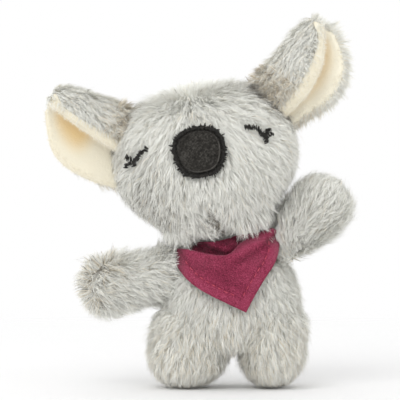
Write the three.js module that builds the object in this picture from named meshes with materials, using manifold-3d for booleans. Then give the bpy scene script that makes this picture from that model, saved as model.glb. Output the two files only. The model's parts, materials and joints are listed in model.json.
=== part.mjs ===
import * as THREE from 'three';
import { mergeVertices } from 'three/addons/utils/BufferGeometryUtils.js';
import Module from 'manifold-3d';

const wasm = await Module();
wasm.setup();

// Millimetres. The toy faces -Y, its own left is +X, and it stands on Z = 0.

// Cloth and fits
const furSkinThickness = 4; // pile and backing, to the tips of the combed pile
const fillingGap = 0.3; // between a skin and the wadding in it
const seamGap = 0.3; // between a limb's root and its pocket in the torso
const trimGap = 0.3; // between the pile and what is sewn on it
const cutOverrun = 5;
const weldDistance = 0.0001; // points of a geometry this close are one point
const turnDegrees = 180 / Math.PI;

// Torso, a flattened pear cut off flat above the legs
const torsoCentreX = 10.2;
const torsoBottomZ = 25;
const torsoHeight = 21;
const torsoWidth = 52.6;
const torsoDepth = 35.6;
const torsoSquareness = 2.2;
const torsoSides = 28;
// height, width and depth of each ring, as shares of the torso's own
const torsoRingShares = [
  [0, 1, 0.93], [0.14, 0.965, 0.99], [0.33, 0.91, 1], [0.57, 0.83, 0.96],
  [0.78, 0.75, 0.87], [0.9, 0.64, 0.74], [0.97, 0.44, 0.52], [1, 0.2, 0.24],
];

// Head, an upturned soft triangle that leans over the neck
const headWidth = 66;
const headHeight = 56;
const headDepth = 49;
const headSquareness = 2.15;
const headSides = 32;
const headLean = 11.7 / turnDegrees;
const headLift = 31.6; // neck pivot to the middle of the head
const headBelowMiddle = 28.2;
const headRingShares = [
  [0, 0.1, 0.1], [0.01, 0.31, 0.28], [0.035, 0.46, 0.42], [0.08, 0.575, 0.55], [0.15, 0.685, 0.7],
  [0.24, 0.79, 0.82], [0.345, 0.89, 0.93], [0.47, 0.975, 0.99], [0.59, 1, 1], [0.7, 0.97, 0.97],
  [0.79, 0.9, 0.9], [0.86, 0.815, 0.81], [0.925, 0.69, 0.67], [0.965, 0.51, 0.47],
  [0.99, 0.28, 0.25], [1, 0.08, 0.08],
];

// Neck, a plug of wadding that the head turns and nods on
const neckX = -1.4; // from the torso's centre
const neckZ = 46.5;
const neckBallRadius = 7;
const neckStemRadius = 6.4;
const neckStemLength = 11.5;
const neckSides = 16;

// Arms, drumsticks whose round roots sit in pockets in the shoulders
const armRootRadius = 7.4;
const armSides = 16;
const rightArm = { pivotX: -25.4, pivotZ: 42, reachX: -16.4, reachY: 0, reachZ: -5, handRadius: 10.8 };
const leftArm = { pivotX: 20.3, pivotZ: 47, reachX: 11.6, reachY: 0, reachZ: 14, handRadius: 11 };
const limbMouthRadius = 3.5; // where a limb's skin is left open for its wadding

// Legs, lobes that are round about the hip line above and stand on flat soles
const hipZ = 20.5;
const legLength = 21; // hip line to the uncut sole
const soleCut = 0.5;
const hipRadius = 14;
const legSides = 20;
const legRings = 12;
const hipRoundness = 1.7;
const legRoundness = 3; // front view, hip line to sole
const soleRoundness = 4.5; // side view, so that the toy stands on it
const legEndShare = 0.35; // of a ring's step, from each end of a leg to its first ring
const rightLeg = { centreX: -14.3, halfWidth: 15.1 };
const leftLeg = { centreX: 14.5, halfWidth: 12.7 };

// Ears, a leaf of pile and fleece folded forward along its length
const earLength = 30;
const earDepth = 8.5;
const earPileThickness = 2.8;
const earLiningThickness = 1.2;
const earLiningGap = 0.3;
const earHeadGap = 0.4;
const earSwing = 20 / turnDegrees;
const earRows = 8;
const earColumns = 12;
const earBackY = 1.5; // how far behind the middle of the head it is sewn on
const rightEar = { side: -1, rootX: 27.6, rootZ: 12.3, lean: 41.9 / turnDegrees };
const leftEar = { side: 1, rootX: 30, rootZ: 15, lean: 37.5 / turnDegrees };
// along the ear, then fold, front rim and outer rim across it, as shares of its length, and its depth
const earRowShares = [
  [-0.3, 0.3, -0.1, -0.36, 0.8], [0, 0.34, -0.11, -0.43, 0.9], [0.2, 0.35, -0.14, -0.48, 1],
  [0.4, 0.32, -0.15, -0.49, 1], [0.6, 0.26, -0.13, -0.44, 0.9], [0.75, 0.22, -0.08, -0.34, 0.75],
  [0.88, 0.17, 0.03, -0.19, 0.5], [0.96, 0.13, 0.07, -0.06, 0.28], [1, 0.11, 0.08, 0.03, 0.16],
];
// around the fold: how far from fold to front rim or to outer rim, and how far forward
const earFrontShares = [[1, 1], [0.5, 1.07], [0, 0.55]];
const earBehindShares = [[0.06, 0], [0.38, -0.3], [0.72, -0.2], [1, 0.18]];

// Nose, a felt patch with a satin-stitched border
const noseX = -1.2;
const noseZ = 4.4; // above the middle of the head
const noseWidth = 18.4;
const noseHeight = 18.6;
const noseFeltThickness = 1.1;
const noseBorderThickness = 1.6;
const noseFeltShare = 0.86;
const noseFeltRingShares = [0.35, 0.7, 1];
const noseBorderShare = 0.885;
const noseOutlineShares = [
  [-0.5, 0.3], [-0.32, 0.45], [-0.1, 0.5], [0.17, 0.46], [0.38, 0.38], [0.48, 0.2], [0.5, -0.04],
  [0.42, -0.28], [0.3, -0.42], [0.06, -0.5], [-0.2, -0.5], [-0.36, -0.43], [-0.46, -0.22], [-0.52, 0.04],
];

// Closed eyes, an arc and two lashes of satin stitch
const stitchWidth = 2;
const stitchThickness = 0.9;
const stitchPoints = 7;
const rightEyeLines = [
  [[-19.2, 9.4], [-22.9, 8.4], [-25.6, 5.6]],
  [[-22.6, 7.6], [-25.2, 8.4], [-27, 9.4]],
  [[-23.6, 6.6], [-25.4, 5], [-25.4, 2.8]],
];
const leftEyeLines = [
  [[15.4, 9.4], [19.2, 8.6], [22.4, 4]],
  [[19, 7.6], [22, 7], [24.6, 7.8]],
  [[20.4, 6], [22.8, 4.9], [25.4, 5.2]],
];

// Bandana, a folded triangle of cotton with a loop about the neck
const bandanaThickness = 0.8;
const bandanaGap = 0.45;
const collarX = -2.6;
const collarZ = 46.1;
const collarHeight = 1.5;
const collarHalfWidth = 11.8;
const collarHalfDepth = 10;
const collarSides = 32;
const flapTopZ = 45.4;
const flapLeft = 13;
const flapRight = -13.4;
const flapTipX = 5.6;
const flapTipZ = 26.1;
const flapTipShare = 0.07; // width left at the tip, of the width at the top
const flapDrapeZ = 43.2; // above this the cloth stands straight up off the chest
const flapRows = 8;

function material(color, roughness) {
  return new THREE.MeshStandardMaterial({ color, roughness, metalness: 0 });
}

function solidFromGeometry(geometry, matrix) {
  let bare = geometry.clone();
  bare.deleteAttribute('normal');
  bare.deleteAttribute('uv');
  if (matrix) bare.applyMatrix4(matrix);
  bare = mergeVertices(bare, weldDistance);
  return solidFromArrays(bare.attributes.position.array, bare.index.array);
}

function solidFromArrays(positions, index) {
  const mesh = new wasm.Mesh({
    numProp: 3,
    vertProperties: new Float32Array(positions),
    triVerts: new Uint32Array(index),
  });
  mesh.merge();
  return new wasm.Manifold(mesh);
}

function meshFromSolid(name, solid, skin) {
  const body = solid.getMesh();
  const geometry = new THREE.BufferGeometry();
  const stride = body.numProp;
  const count = body.vertProperties.length / stride;
  const positions = new Float32Array(3 * count);
  for (let i = 0; i < count; i += 1) {
    for (let k = 0; k < 3; k += 1) positions[3 * i + k] = body.vertProperties[stride * i + k];
  }
  geometry.setAttribute('position', new THREE.BufferAttribute(positions, 3));
  geometry.setIndex(new THREE.BufferAttribute(new Uint32Array(body.triVerts), 1));
  geometry.computeVertexNormals();
  const mesh = new THREE.Mesh(geometry, skin);
  mesh.name = name;
  return mesh;
}

// The largest body of a cut solid, without the crumbs that a cut can leave.
function largestBody(solid) {
  const bodies = solid.decompose();
  return bodies.reduce((best, body) => (body.volume() > best.volume() ? body : best));
}

function movedSolid(solid, x, y, z) {
  return solid.translate([x, y, z]);
}

// Rings with the same number of points joined into a closed body, with a fan on each end.
function loftedSolid(rings) {
  const sides = rings[0].length;
  const positions = [];
  const index = [];
  for (const ring of rings) for (const point of ring) positions.push(point.x, point.y, point.z);
  for (let j = 0; j + 1 < rings.length; j += 1) {
    for (let i = 0; i < sides; i += 1) {
      const a = j * sides + i;
      const b = j * sides + ((i + 1) % sides);
      index.push(a, b, b + sides, a, b + sides, a + sides);
    }
  }
  const ends = [rings[0], rings[rings.length - 1]];
  ends.forEach((ring, end) => {
    const middle = new THREE.Vector3();
    for (const point of ring) middle.addScaledVector(point, 1 / sides);
    const hub = positions.length / 3;
    positions.push(middle.x, middle.y, middle.z);
    const start = end * (rings.length - 1) * sides;
    for (let i = 0; i < sides; i += 1) {
      const a = start + i;
      const b = start + ((i + 1) % sides);
      if (end) index.push(a, b, hub);
      else index.push(b, a, hub);
    }
  });
  const solid = solidFromArrays(positions, index);
  return solid.volume() < 0 ? solidFromArrays(positions, reversed(index)) : solid;
}

function reversed(index) {
  const turned = [];
  for (let i = 0; i < index.length; i += 3) turned.push(index[i], index[i + 2], index[i + 1]);
  return turned;
}

// Rings with the same number of points joined in a loop, each to the next and the last to the first.
function hoopSolid(rings) {
  const sides = rings[0].length;
  const positions = rings.flat().flatMap((point) => [point.x, point.y, point.z]);
  const index = [];
  rings.forEach((ring, j) => {
    const next = (j + 1) % rings.length;
    ring.forEach((point, i) => {
      const a = j * sides + i;
      const b = j * sides + ((i + 1) % sides);
      const c = next * sides + ((i + 1) % sides);
      index.push(a, b, c, a, c, next * sides + i);
    });
  });
  const solid = solidFromArrays(positions, index);
  return solid.volume() < 0 ? solidFromArrays(positions, reversed(index)) : solid;
}

// One coordinate of a superellipse: a share between -1 and 1 of its half-size.
function softShare(share, squareness) {
  return Math.sign(share) * Math.abs(share) ** (2 / squareness);
}

function interpolatedRow(rows, share) {
  let j = 1;
  while (j + 1 < rows.length && rows[j][0] < share) j += 1;
  const low = rows[j - 1];
  const high = rows[j];
  const blend = THREE.MathUtils.clamp((share - low[0]) / (high[0] - low[0]), 0, 1);
  return low.map((value, k) => value + blend * (high[k] - value));
}

// A stuffed form about the Z axis, from a table of ring shares; inset shrinks it all round.
function stuffedSolid(form, sides, inset) {
  const rings = form.ringShares.map(([heightShare, widthShare, depthShare]) => {
    const z = form.bottomZ + inset + heightShare * (form.height - 2 * inset);
    const ring = [];
    for (let i = 0; i < sides; i += 1) {
      const angle = (2 * Math.PI * i) / sides;
      ring.push(new THREE.Vector3(
        softShare(Math.cos(angle), form.squareness) * widthShare * (form.width / 2 - inset),
        softShare(Math.sin(angle), form.squareness) * depthShare * (form.depth / 2 - inset),
        z,
      ));
    }
    return ring;
  });
  return loftedSolid(rings);
}

// The Y of a stuffed form's front at a point of its front view.
function frontY(form, x, z) {
  const [, widthShare, depthShare] = interpolatedRow(form.ringShares, (z - form.bottomZ) / form.height);
  const across = Math.min(Math.abs(x) / ((widthShare * form.width) / 2), 1);
  return (-depthShare * form.depth / 2) * (1 - across ** form.squareness) ** (1 / form.squareness);
}

const torsoForm = {
  ringShares: torsoRingShares,
  bottomZ: torsoBottomZ,
  height: torsoHeight,
  width: torsoWidth,
  depth: torsoDepth,
  squareness: torsoSquareness,
};
const headForm = {
  ringShares: headRingShares,
  bottomZ: headLift - headBelowMiddle,
  height: headHeight,
  width: headWidth,
  depth: headDepth,
  squareness: headSquareness,
};

// A round solid about the Z axis from a profile of [radius, height] points.
function turnedSolid(profile, sides) {
  const points = profile.map(([radius, height]) => new THREE.Vector2(radius, height));
  const upright = new THREE.Matrix4().makeRotationX(Math.PI / 2);
  return solidFromGeometry(new THREE.LatheGeometry(points, sides), upright);
}

function arcPoints(radius, centre, from, to, steps) {
  const points = [];
  for (let i = 0; i <= steps; i += 1) {
    const angle = from + ((to - from) * i) / steps;
    points.push([Math.max(radius * Math.sin(angle), 0), centre + radius * Math.cos(angle)]);
  }
  return points;
}

function ballSolid(radius, sides) {
  return turnedSolid(arcPoints(radius, 0, Math.PI, 0, sides / 2), sides);
}

// Two balls and the cone that touches both, from the root at the origin along Z.
function drumstickSolid(rootRadius, handRadius, reach, sides) {
  const slope = Math.PI / 2 + Math.asin((handRadius - rootRadius) / reach);
  const steps = sides / 4;
  return turnedSolid([
    ...arcPoints(rootRadius, 0, Math.PI, slope, steps),
    ...arcPoints(handRadius, reach, slope, 0, steps),
  ], sides);
}

function rodSolid(radius, fromZ, toZ, sides) {
  return turnedSolid([[0, fromZ], [radius, fromZ], [radius, toZ], [0, toZ]], sides);
}

// One leg about its hip line: round above the line, a deeper rounded lobe below it.
function lobeSolid(halfWidth, radius, length, sides, roundBelow) {
  const rings = [];
  for (let j = 0; j <= legRings; j += 1) {
    const share = -Math.cos((Math.PI * (j + legEndShare)) / (legRings + 2 * legEndShare));
    const above = radius * (1 - Math.abs(share) ** hipRoundness) ** (1 / hipRoundness);
    const below = roundBelow ? above : length * (1 - Math.abs(share) ** legRoundness) ** (1 / legRoundness);
    const ring = [];
    for (let i = 0; i < sides; i += 1) {
      const angle = (2 * Math.PI * i) / sides;
      const up = Math.sin(angle);
      const lower = up < 0 && !roundBelow;
      ring.push(new THREE.Vector3(
        share * halfWidth,
        above * (lower ? softShare(Math.cos(angle), soleRoundness) : Math.cos(angle)),
        lower ? below * softShare(up, soleRoundness) : above * up,
      ));
    }
    rings.push(ring);
  }
  return loftedSolid(rings);
}

// A sheet of cloth between two offsets of a grid of points, closed all round its edge.
function sheetSolid(grid, inner, outer) {
  const rows = grid.length;
  const columns = grid[0].length;
  const at = (j, i) => grid[Math.min(Math.max(j, 0), rows - 1)][Math.min(Math.max(i, 0), columns - 1)];
  const positions = [];
  const index = [];
  for (const offset of [inner, outer]) {
    for (let j = 0; j < rows; j += 1) {
      for (let i = 0; i < columns; i += 1) {
        const along = at(j + 1, i).clone().sub(at(j - 1, i));
        const across = at(j, i + 1).clone().sub(at(j, i - 1));
        const normal = along.cross(across).normalize();
        const point = at(j, i).clone().addScaledVector(normal, offset);
        positions.push(point.x, point.y, point.z);
      }
    }
  }
  const layer = rows * columns;
  for (let j = 0; j + 1 < rows; j += 1) {
    for (let i = 0; i + 1 < columns; i += 1) {
      const a = j * columns + i;
      index.push(a, a + columns, a + columns + 1, a, a + columns + 1, a + 1);
      const b = layer + a;
      index.push(b, b + columns + 1, b + columns, b, b + 1, b + columns + 1);
    }
  }
  const edge = [];
  for (let i = 0; i + 1 < columns; i += 1) edge.push(i);
  for (let j = 0; j + 1 < rows; j += 1) edge.push(j * columns + columns - 1);
  for (let i = columns - 1; i > 0; i -= 1) edge.push((rows - 1) * columns + i);
  for (let j = rows - 1; j > 0; j -= 1) edge.push(j * columns);
  edge.forEach((a, k) => {
    const b = edge[(k + 1) % edge.length];
    index.push(a, b, b + layer, a, b + layer, a + layer);
  });
  const solid = solidFromArrays(positions, index);
  return solid.volume() < 0 ? solidFromArrays(positions, reversed(index)) : solid;
}

// The ear's middle surface, in the head's frame.
function earGrid(ear) {
  const grid = [];
  for (let j = 0; j <= earRows; j += 1) {
    const first = earRowShares[0][0];
    const share = first + (1 - first) * Math.sin((Math.PI / 2) * (j / earRows));
    const [, fold, front, outer, depth] = interpolatedRow(earRowShares, share);
    const path = [
      ...earFrontShares.map(([reach, forward]) => [fold + reach * (front - fold), forward]),
      ...earBehindShares.map(([reach, forward]) => [fold + reach * (outer - fold), forward]),
    ].map(([across, forward]) => new THREE.Vector3(across * earLength, forward * depth * earDepth, 0));
    const curve = new THREE.CatmullRomCurve3(path);
    grid.push(curve.getPoints(earColumns).map((point) => new THREE.Vector3(
      ear.side * (ear.rootX + share * earLength * Math.sin(ear.lean) - point.x * Math.cos(ear.lean)),
      earBackY - point.y,
      headLift + ear.rootZ + share * earLength * Math.cos(ear.lean) + point.x * Math.sin(ear.lean),
    )));
  }
  return grid;
}

// The head as the ear meets it through its swing, so that the ear stays clear of it.
function headForEar(ear) {
  const grown = stuffedSolid(headForm, headSides, -earHeadGap);
  const axis = new THREE.Vector3(-ear.side * Math.cos(ear.lean), 0, Math.sin(ear.lean));
  const root = new THREE.Vector3(ear.side * ear.rootX, earBackY, headLift + ear.rootZ);
  return [-earSwing, 0, earSwing].map((angle) => {
    const swing = new THREE.Matrix4().makeTranslation(root)
      .multiply(new THREE.Matrix4().makeRotationAxis(axis, angle))
      .multiply(new THREE.Matrix4().makeTranslation(root.clone().negate()));
    return grown.transform(swing.elements);
  });
}

function addEar(group, ear, name) {
  const grid = earGrid(ear);
  const outward = ear.side;
  const layers = [
    [`${name}_back`, earLiningGap, earLiningGap + earPileThickness, material(0xb9b9b3, 1)],
    [`${name}_lining`, -earLiningThickness, 0, material(0xe8dfc6, 0.95)],
  ];
  for (const [label, inner, outer, skin] of layers) {
    let solid = sheetSolid(grid, outward * inner, outward * outer);
    for (const head of headForEar(ear)) solid = solid.subtract(head);
    group.add(meshFromSolid(label, largestBody(solid), skin));
  }
}

// A point of the nose's outline, shrunk to a share of its full size and lifted off the face.
function nosePoint(outlineShare, k, lift) {
  const [across, up] = noseOutlineShares[k];
  const x = noseX + outlineShare * across * noseWidth;
  const z = headLift + noseZ + outlineShare * up * noseHeight;
  return new THREE.Vector3(x, frontY(headForm, x, z) - lift, z);
}

function noseRing(outlineShare, lift) {
  return noseOutlineShares.map((point, k) => nosePoint(outlineShare, k, lift));
}

function noseFeltSolid() {
  const steps = noseFeltRingShares.map((share) => share * noseFeltShare);
  const under = steps.map((share) => noseRing(share, trimGap));
  const over = steps.map((share) => noseRing(share, trimGap + noseFeltThickness)).reverse();
  return loftedSolid([...under, ...over]);
}

function noseBorderSolid() {
  return hoopSolid([
    noseRing(noseBorderShare, trimGap),
    noseRing(1, trimGap),
    noseRing(1, trimGap + noseBorderThickness),
    noseRing(noseBorderShare, trimGap + noseBorderThickness),
  ]);
}

// One column of stitches along a curve on the face.
function stitchSolid(line) {
  const curve = new THREE.CatmullRomCurve3(line.map(([x, z]) => new THREE.Vector3(x, 0, z)));
  const rings = [];
  for (let j = 0; j <= stitchPoints; j += 1) {
    const point = curve.getPointAt(j / stitchPoints);
    const along = curve.getTangentAt(j / stitchPoints);
    const ring = [[-1, 0], [1, 0], [1, 1], [-1, 1]].map(([side, top]) => {
      const x = point.x - (side * along.z * stitchWidth) / 2;
      const z = headLift + point.z + (side * along.x * stitchWidth) / 2;
      return new THREE.Vector3(x, frontY(headForm, x, z) - trimGap - top * stitchThickness, z);
    });
    rings.push(ring);
  }
  return loftedSolid(rings);
}

function eyeSolid(lines) {
  return lines.map(stitchSolid).reduce((eye, stitch) => eye.add(stitch));
}

function addHead(toy) {
  const group = new THREE.Group();
  group.position.set(torsoCentreX + neckX, 0, neckZ);
  group.rotation.y = -headLean;
  const shell = stuffedSolid(headForm, headSides, 0);
  const hollow = stuffedSolid(headForm, headSides / 2, furSkinThickness);
  const mouth = rodSolid(neckStemRadius + seamGap, 0, neckStemLength + fillingGap, neckSides);
  const filling = stuffedSolid(headForm, headSides / 2, furSkinThickness + fillingGap);
  const grey = material(0xb9b9b3, 1);
  const wadding = material(0xf4f3ee, 1);
  group.add(meshFromSolid('head_skin', shell.subtract(hollow).subtract(mouth), grey));
  group.add(meshFromSolid('head_filling', filling.subtract(mouth), wadding));
  const neck = ballSolid(neckBallRadius, neckSides)
    .add(rodSolid(neckStemRadius, 0, neckStemLength, neckSides));
  group.add(meshFromSolid('neck_filling', neck, wadding));
  addEar(group, rightEar, 'right_ear');
  addEar(group, leftEar, 'left_ear');
  group.add(meshFromSolid('nose_patch', noseFeltSolid(), material(0x3d3d3a, 0.95)));
  group.add(meshFromSolid('nose_border', noseBorderSolid(), material(0x141413, 0.6)));
  group.add(meshFromSolid('right_eye', eyeSolid(rightEyeLines), material(0x141413, 0.6)));
  group.add(meshFromSolid('left_eye', eyeSolid(leftEyeLines), material(0x141413, 0.6)));
  toy.add(group);
}

function armReach(arm) {
  return new THREE.Vector3(arm.reachX, arm.reachY, arm.reachZ);
}

function addArm(toy, arm, name) {
  const group = new THREE.Group();
  group.position.set(torsoCentreX + arm.pivotX, 0, arm.pivotZ);
  group.quaternion.setFromUnitVectors(new THREE.Vector3(0, 0, 1), armReach(arm).normalize());
  const reach = armReach(arm).length();
  const formOf = (inset) => drumstickSolid(armRootRadius - inset, arm.handRadius - inset, reach, armSides);
  const mouth = rodSolid(limbMouthRadius, -armRootRadius - cutOverrun, 0, armSides / 2);
  const skin = formOf(0).subtract(formOf(furSkinThickness)).subtract(mouth);
  group.add(meshFromSolid(`${name}_skin`, skin, material(0xb9b9b3, 1)));
  group.add(meshFromSolid(`${name}_filling`, formOf(furSkinThickness + fillingGap), material(0xf4f3ee, 1)));
  toy.add(group);
}

function addLeg(toy, leg, name) {
  const group = new THREE.Group();
  group.position.set(torsoCentreX + leg.centreX, 0, hipZ);
  const formOf = (inset, sides) => lobeSolid(
    leg.halfWidth - inset, hipRadius - inset, legLength - inset, sides, false,
  );
  const span = 2 * (legLength + cutOverrun);
  const ground = solidFromGeometry(new THREE.BoxGeometry(span, span, span));
  const below = movedSolid(ground, 0, 0, soleCut - legLength - span / 2);
  const mouth = rodSolid(limbMouthRadius, 0, hipRadius + cutOverrun, legSides / 2);
  const hollow = formOf(furSkinThickness, legSides / 2);
  const skin = formOf(0, legSides).subtract(below).subtract(hollow).subtract(mouth);
  group.add(meshFromSolid(`${name}_skin`, skin, material(0xb9b9b3, 1)));
  const filling = formOf(furSkinThickness + fillingGap, legSides / 2);
  group.add(meshFromSolid(`${name}_filling`, filling, material(0xf4f3ee, 1)));
  toy.add(group);
}

// The pockets that the limbs and the neck sit in.
function torsoPockets() {
  const pockets = [rightArm, leftArm].map((arm) => (
    movedSolid(ballSolid(armRootRadius + seamGap, armSides), arm.pivotX, 0, arm.pivotZ)
  ));
  for (const leg of [rightLeg, leftLeg]) {
    const round = lobeSolid(leg.halfWidth + seamGap, hipRadius + seamGap, legLength, legSides, true);
    pockets.push(movedSolid(round, leg.centreX, 0, hipZ));
  }
  pockets.push(movedSolid(ballSolid(neckBallRadius + seamGap, neckSides), neckX, 0, neckZ));
  return pockets;
}

function addTorso(toy) {
  const group = new THREE.Group();
  group.position.x = torsoCentreX;
  let skin = stuffedSolid(torsoForm, torsoSides, 0)
    .subtract(stuffedSolid(torsoForm, torsoSides / 2, furSkinThickness));
  let filling = stuffedSolid(torsoForm, torsoSides / 2, furSkinThickness + fillingGap);
  for (const pocket of torsoPockets()) {
    skin = skin.subtract(pocket);
    filling = filling.subtract(pocket);
  }
  group.add(meshFromSolid('torso_skin', largestBody(skin), material(0xb9b9b3, 1)));
  group.add(meshFromSolid('torso_filling', largestBody(filling), material(0xf4f3ee, 1)));
  toy.add(group);
}

// The loop about the neck.
function collarSolid() {
  const ringAt = (thickness, top) => {
    const ring = [];
    for (let i = 0; i < collarSides; i += 1) {
      const angle = (2 * Math.PI * i) / collarSides;
      ring.push(new THREE.Vector3(
        collarX + (collarHalfWidth + thickness) * Math.cos(angle),
        (collarHalfDepth + thickness) * Math.sin(angle),
        collarZ + top * collarHeight,
      ));
    }
    return ring;
  };
  return hoopSolid([ringAt(0, 0), ringAt(bandanaThickness, 0), ringAt(bandanaThickness, 1), ringAt(0, 1)]);
}

// The triangle that hangs on the chest.
function flapSolid() {
  const grid = [];
  for (let j = 0; j <= flapRows; j += 1) {
    const down = j / flapRows;
    const narrow = 1 - (1 - flapTipShare) * down;
    const row = [];
    for (let i = 0; i <= flapRows; i += 1) {
      const across = i / flapRows;
      const edge = flapRight + across * (flapLeft - flapRight);
      const x = flapTipX + (edge - flapTipX) * narrow;
      const z = flapTopZ + (flapTipZ - flapTopZ) * down;
      const chest = frontY(torsoForm, x, Math.min(z, flapDrapeZ));
      row.push(new THREE.Vector3(x, chest - bandanaGap, z));
    }
    grid.push(row);
  }
  return sheetSolid(grid, 0, bandanaThickness);
}

function addBandana(toy) {
  const group = new THREE.Group();
  group.position.x = torsoCentreX;
  const cloth = material(0x8c2f4c, 0.8);
  group.add(meshFromSolid('bandana_collar', collarSolid(), cloth));
  group.add(meshFromSolid('bandana_flap', flapSolid(), cloth.clone()));
  toy.add(group);
}

function buildKoala() {
  const toy = new THREE.Group();
  toy.name = 'plush_koala';
  addTorso(toy);
  addLeg(toy, rightLeg, 'right_leg');
  addLeg(toy, leftLeg, 'left_leg');
  addArm(toy, rightArm, 'right_arm');
  addArm(toy, leftArm, 'left_arm');
  addHead(toy);
  addBandana(toy);
  toy.updateMatrixWorld(true);
  const bounds = new THREE.Box3().setFromObject(toy, true);
  const middle = bounds.getCenter(new THREE.Vector3());
  toy.position.set(-middle.x, -middle.y, -bounds.min.z);
  toy.updateMatrixWorld(true);
  return toy;
}

export default buildKoala();
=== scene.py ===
import json
import math

import bpy
import numpy as np
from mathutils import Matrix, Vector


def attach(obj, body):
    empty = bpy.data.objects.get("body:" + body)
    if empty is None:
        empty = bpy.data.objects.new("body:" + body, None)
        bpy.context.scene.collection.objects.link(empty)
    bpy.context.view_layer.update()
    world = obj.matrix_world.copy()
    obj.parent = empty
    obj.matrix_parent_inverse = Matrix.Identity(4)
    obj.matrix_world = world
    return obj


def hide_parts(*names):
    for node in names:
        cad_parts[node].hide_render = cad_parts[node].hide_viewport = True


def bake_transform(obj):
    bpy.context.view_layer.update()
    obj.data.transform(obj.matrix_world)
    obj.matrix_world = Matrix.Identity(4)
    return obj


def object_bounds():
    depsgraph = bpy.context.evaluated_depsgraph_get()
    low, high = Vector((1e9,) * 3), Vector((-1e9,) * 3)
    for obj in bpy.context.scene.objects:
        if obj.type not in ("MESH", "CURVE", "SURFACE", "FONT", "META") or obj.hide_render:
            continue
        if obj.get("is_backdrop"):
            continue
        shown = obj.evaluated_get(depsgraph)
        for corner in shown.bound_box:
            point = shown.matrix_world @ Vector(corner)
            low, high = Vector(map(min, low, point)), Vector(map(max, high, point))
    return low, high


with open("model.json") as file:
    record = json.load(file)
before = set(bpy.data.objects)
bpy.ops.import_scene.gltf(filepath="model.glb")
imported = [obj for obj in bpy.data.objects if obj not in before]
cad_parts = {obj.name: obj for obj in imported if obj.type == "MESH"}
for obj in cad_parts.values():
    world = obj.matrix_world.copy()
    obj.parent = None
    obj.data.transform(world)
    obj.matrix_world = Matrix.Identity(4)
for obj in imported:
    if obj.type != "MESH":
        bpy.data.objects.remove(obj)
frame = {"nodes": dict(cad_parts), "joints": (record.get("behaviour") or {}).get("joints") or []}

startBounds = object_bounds()
mm = 0.001  # shapes are worked out in millimetres, in the CAD's own frame
joints = {joint["name"]: joint for joint in frame["joints"]}
dice = np.random.default_rng(21)
print("frame loaded:", len(frame["nodes"]), "nodes")


def pivot(name):
    # where a joint turns, in millimetres
    return np.array(joints[name]["pos_m"]) / mm


# small maths on whole arrays of points

def unit(v):
    # each vector over its own length
    return v / np.maximum(np.linalg.norm(v, axis=-1, keepdims=True), 1e-9)


def dot(a, b):
    # the sum of the products of the coordinates
    return (a * b).sum(-1, keepdims=True)


def ease(low, high, value):
    # 0 below low, 1 above high, and 3u² - 2u³ between
    u = np.clip((value - low) / (high - low), 0, 1)
    return u * u * (3 - 2 * u)


def bell(value, width):
    # 1 at 0, and e to the power minus the square of value over width away from it
    return np.exp(-(value / width) ** 2)


def soft(value, squareness):
    # one coordinate of a superellipse: its size to the power 2 / squareness, with its sign
    return np.sign(value) * np.abs(value) ** (2 / squareness)


def cubic(a, b, c, d, u):
    # from b to c as u goes from 0 to 1, with the slopes that a and d give at both ends
    return b + 0.5 * u * (c - a + u * (2 * a - 5 * b + 4 * c - d + u * (3 * b - a - 3 * c + d)))


def rowsAt(rows, share):
    # the smooth curve through evenly spaced rows, each stretch a cubic of the four rows round it
    rows = np.asarray(rows, float)
    place = np.clip(share, 0, 1) * (len(rows) - 1)
    j = np.minimum(place.astype(int), len(rows) - 2)
    u = (place - j)[..., None]
    a, b = rows[np.maximum(j - 1, 0)], rows[j]
    c, d = rows[j + 1], rows[np.minimum(j + 2, len(rows) - 1)]
    return cubic(a, b, c, d, u)


def runAlong(points):
    # the distance along a line of points, from the first of them
    return np.concatenate([[0], np.cumsum(np.linalg.norm(np.diff(points, axis=0), axis=1))])


def leftOf(points):
    # square to a flat line at each of its points, to its left
    along = unit(np.gradient(points, axis=0))
    return np.stack([-along[:, 1], along[:, 0]], 1)


def evenly(points, count, closed=False):
    # count points at equal distances along the smooth curve through the given ones
    points = np.asarray(points, float)
    if closed:
        points = np.concatenate([points[-2:], points, points[:3]])
    fineCount = 60 * len(points)
    fine = rowsAt(points, np.linspace(0, 1, fineCount))
    if closed:
        perPoint = fineCount / (len(points) - 1)
        fine = fine[int(round(2 * perPoint)):int(round((len(points) - 3) * perPoint)) + 1]
    run = runAlong(fine)
    wanted = np.linspace(0, run[-1], count + 1)[:-1] if closed else np.linspace(0, run[-1], count)
    return np.stack([np.interp(wanted, run, fine[:, k]) for k in range(fine.shape[1])], -1)


def blobs(points, size, seed):
    # slow bumps between -1 and 1: a sum of eight sine waves in chosen directions, about size across
    rule = np.random.default_rng(seed)
    total = 0
    for k in range(8):
        way = unit(rule.normal(size=3)) * 2 * np.pi / (size * rule.uniform(0.7, 1.8))
        total = total + np.sin(points @ way + rule.uniform(0, 6.28))
    return total / 4


# meshes

def meshPiece(name, points, faces, material, uv=None, smooth=True):
    # triangles or quads from arrays; points in millimetres, uv one pair for each point
    mesh = bpy.data.meshes.new(name)
    mesh.vertices.add(len(points))
    mesh.vertices.foreach_set("co", (np.asarray(points) * mm).astype(np.float32).ravel())
    mesh.loops.add(faces.size)
    mesh.loops.foreach_set("vertex_index", faces.astype(np.int32).ravel())
    mesh.polygons.add(len(faces))
    mesh.polygons.foreach_set("loop_start", (np.arange(len(faces)) * faces.shape[1]).astype(np.int32))
    mesh.polygons.foreach_set("use_smooth", np.full(len(faces), smooth))
    if uv is not None:
        layer = mesh.uv_layers.new(name="OFBake")
        layer.uv.foreach_set("vector", uv[faces.ravel()].astype(np.float32).ravel())
    mesh.update(calc_edges=True)
    piece = bpy.data.objects.new(name, mesh)
    bpy.context.scene.collection.objects.link(piece)
    mesh.materials.append(material)
    return piece


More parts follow.
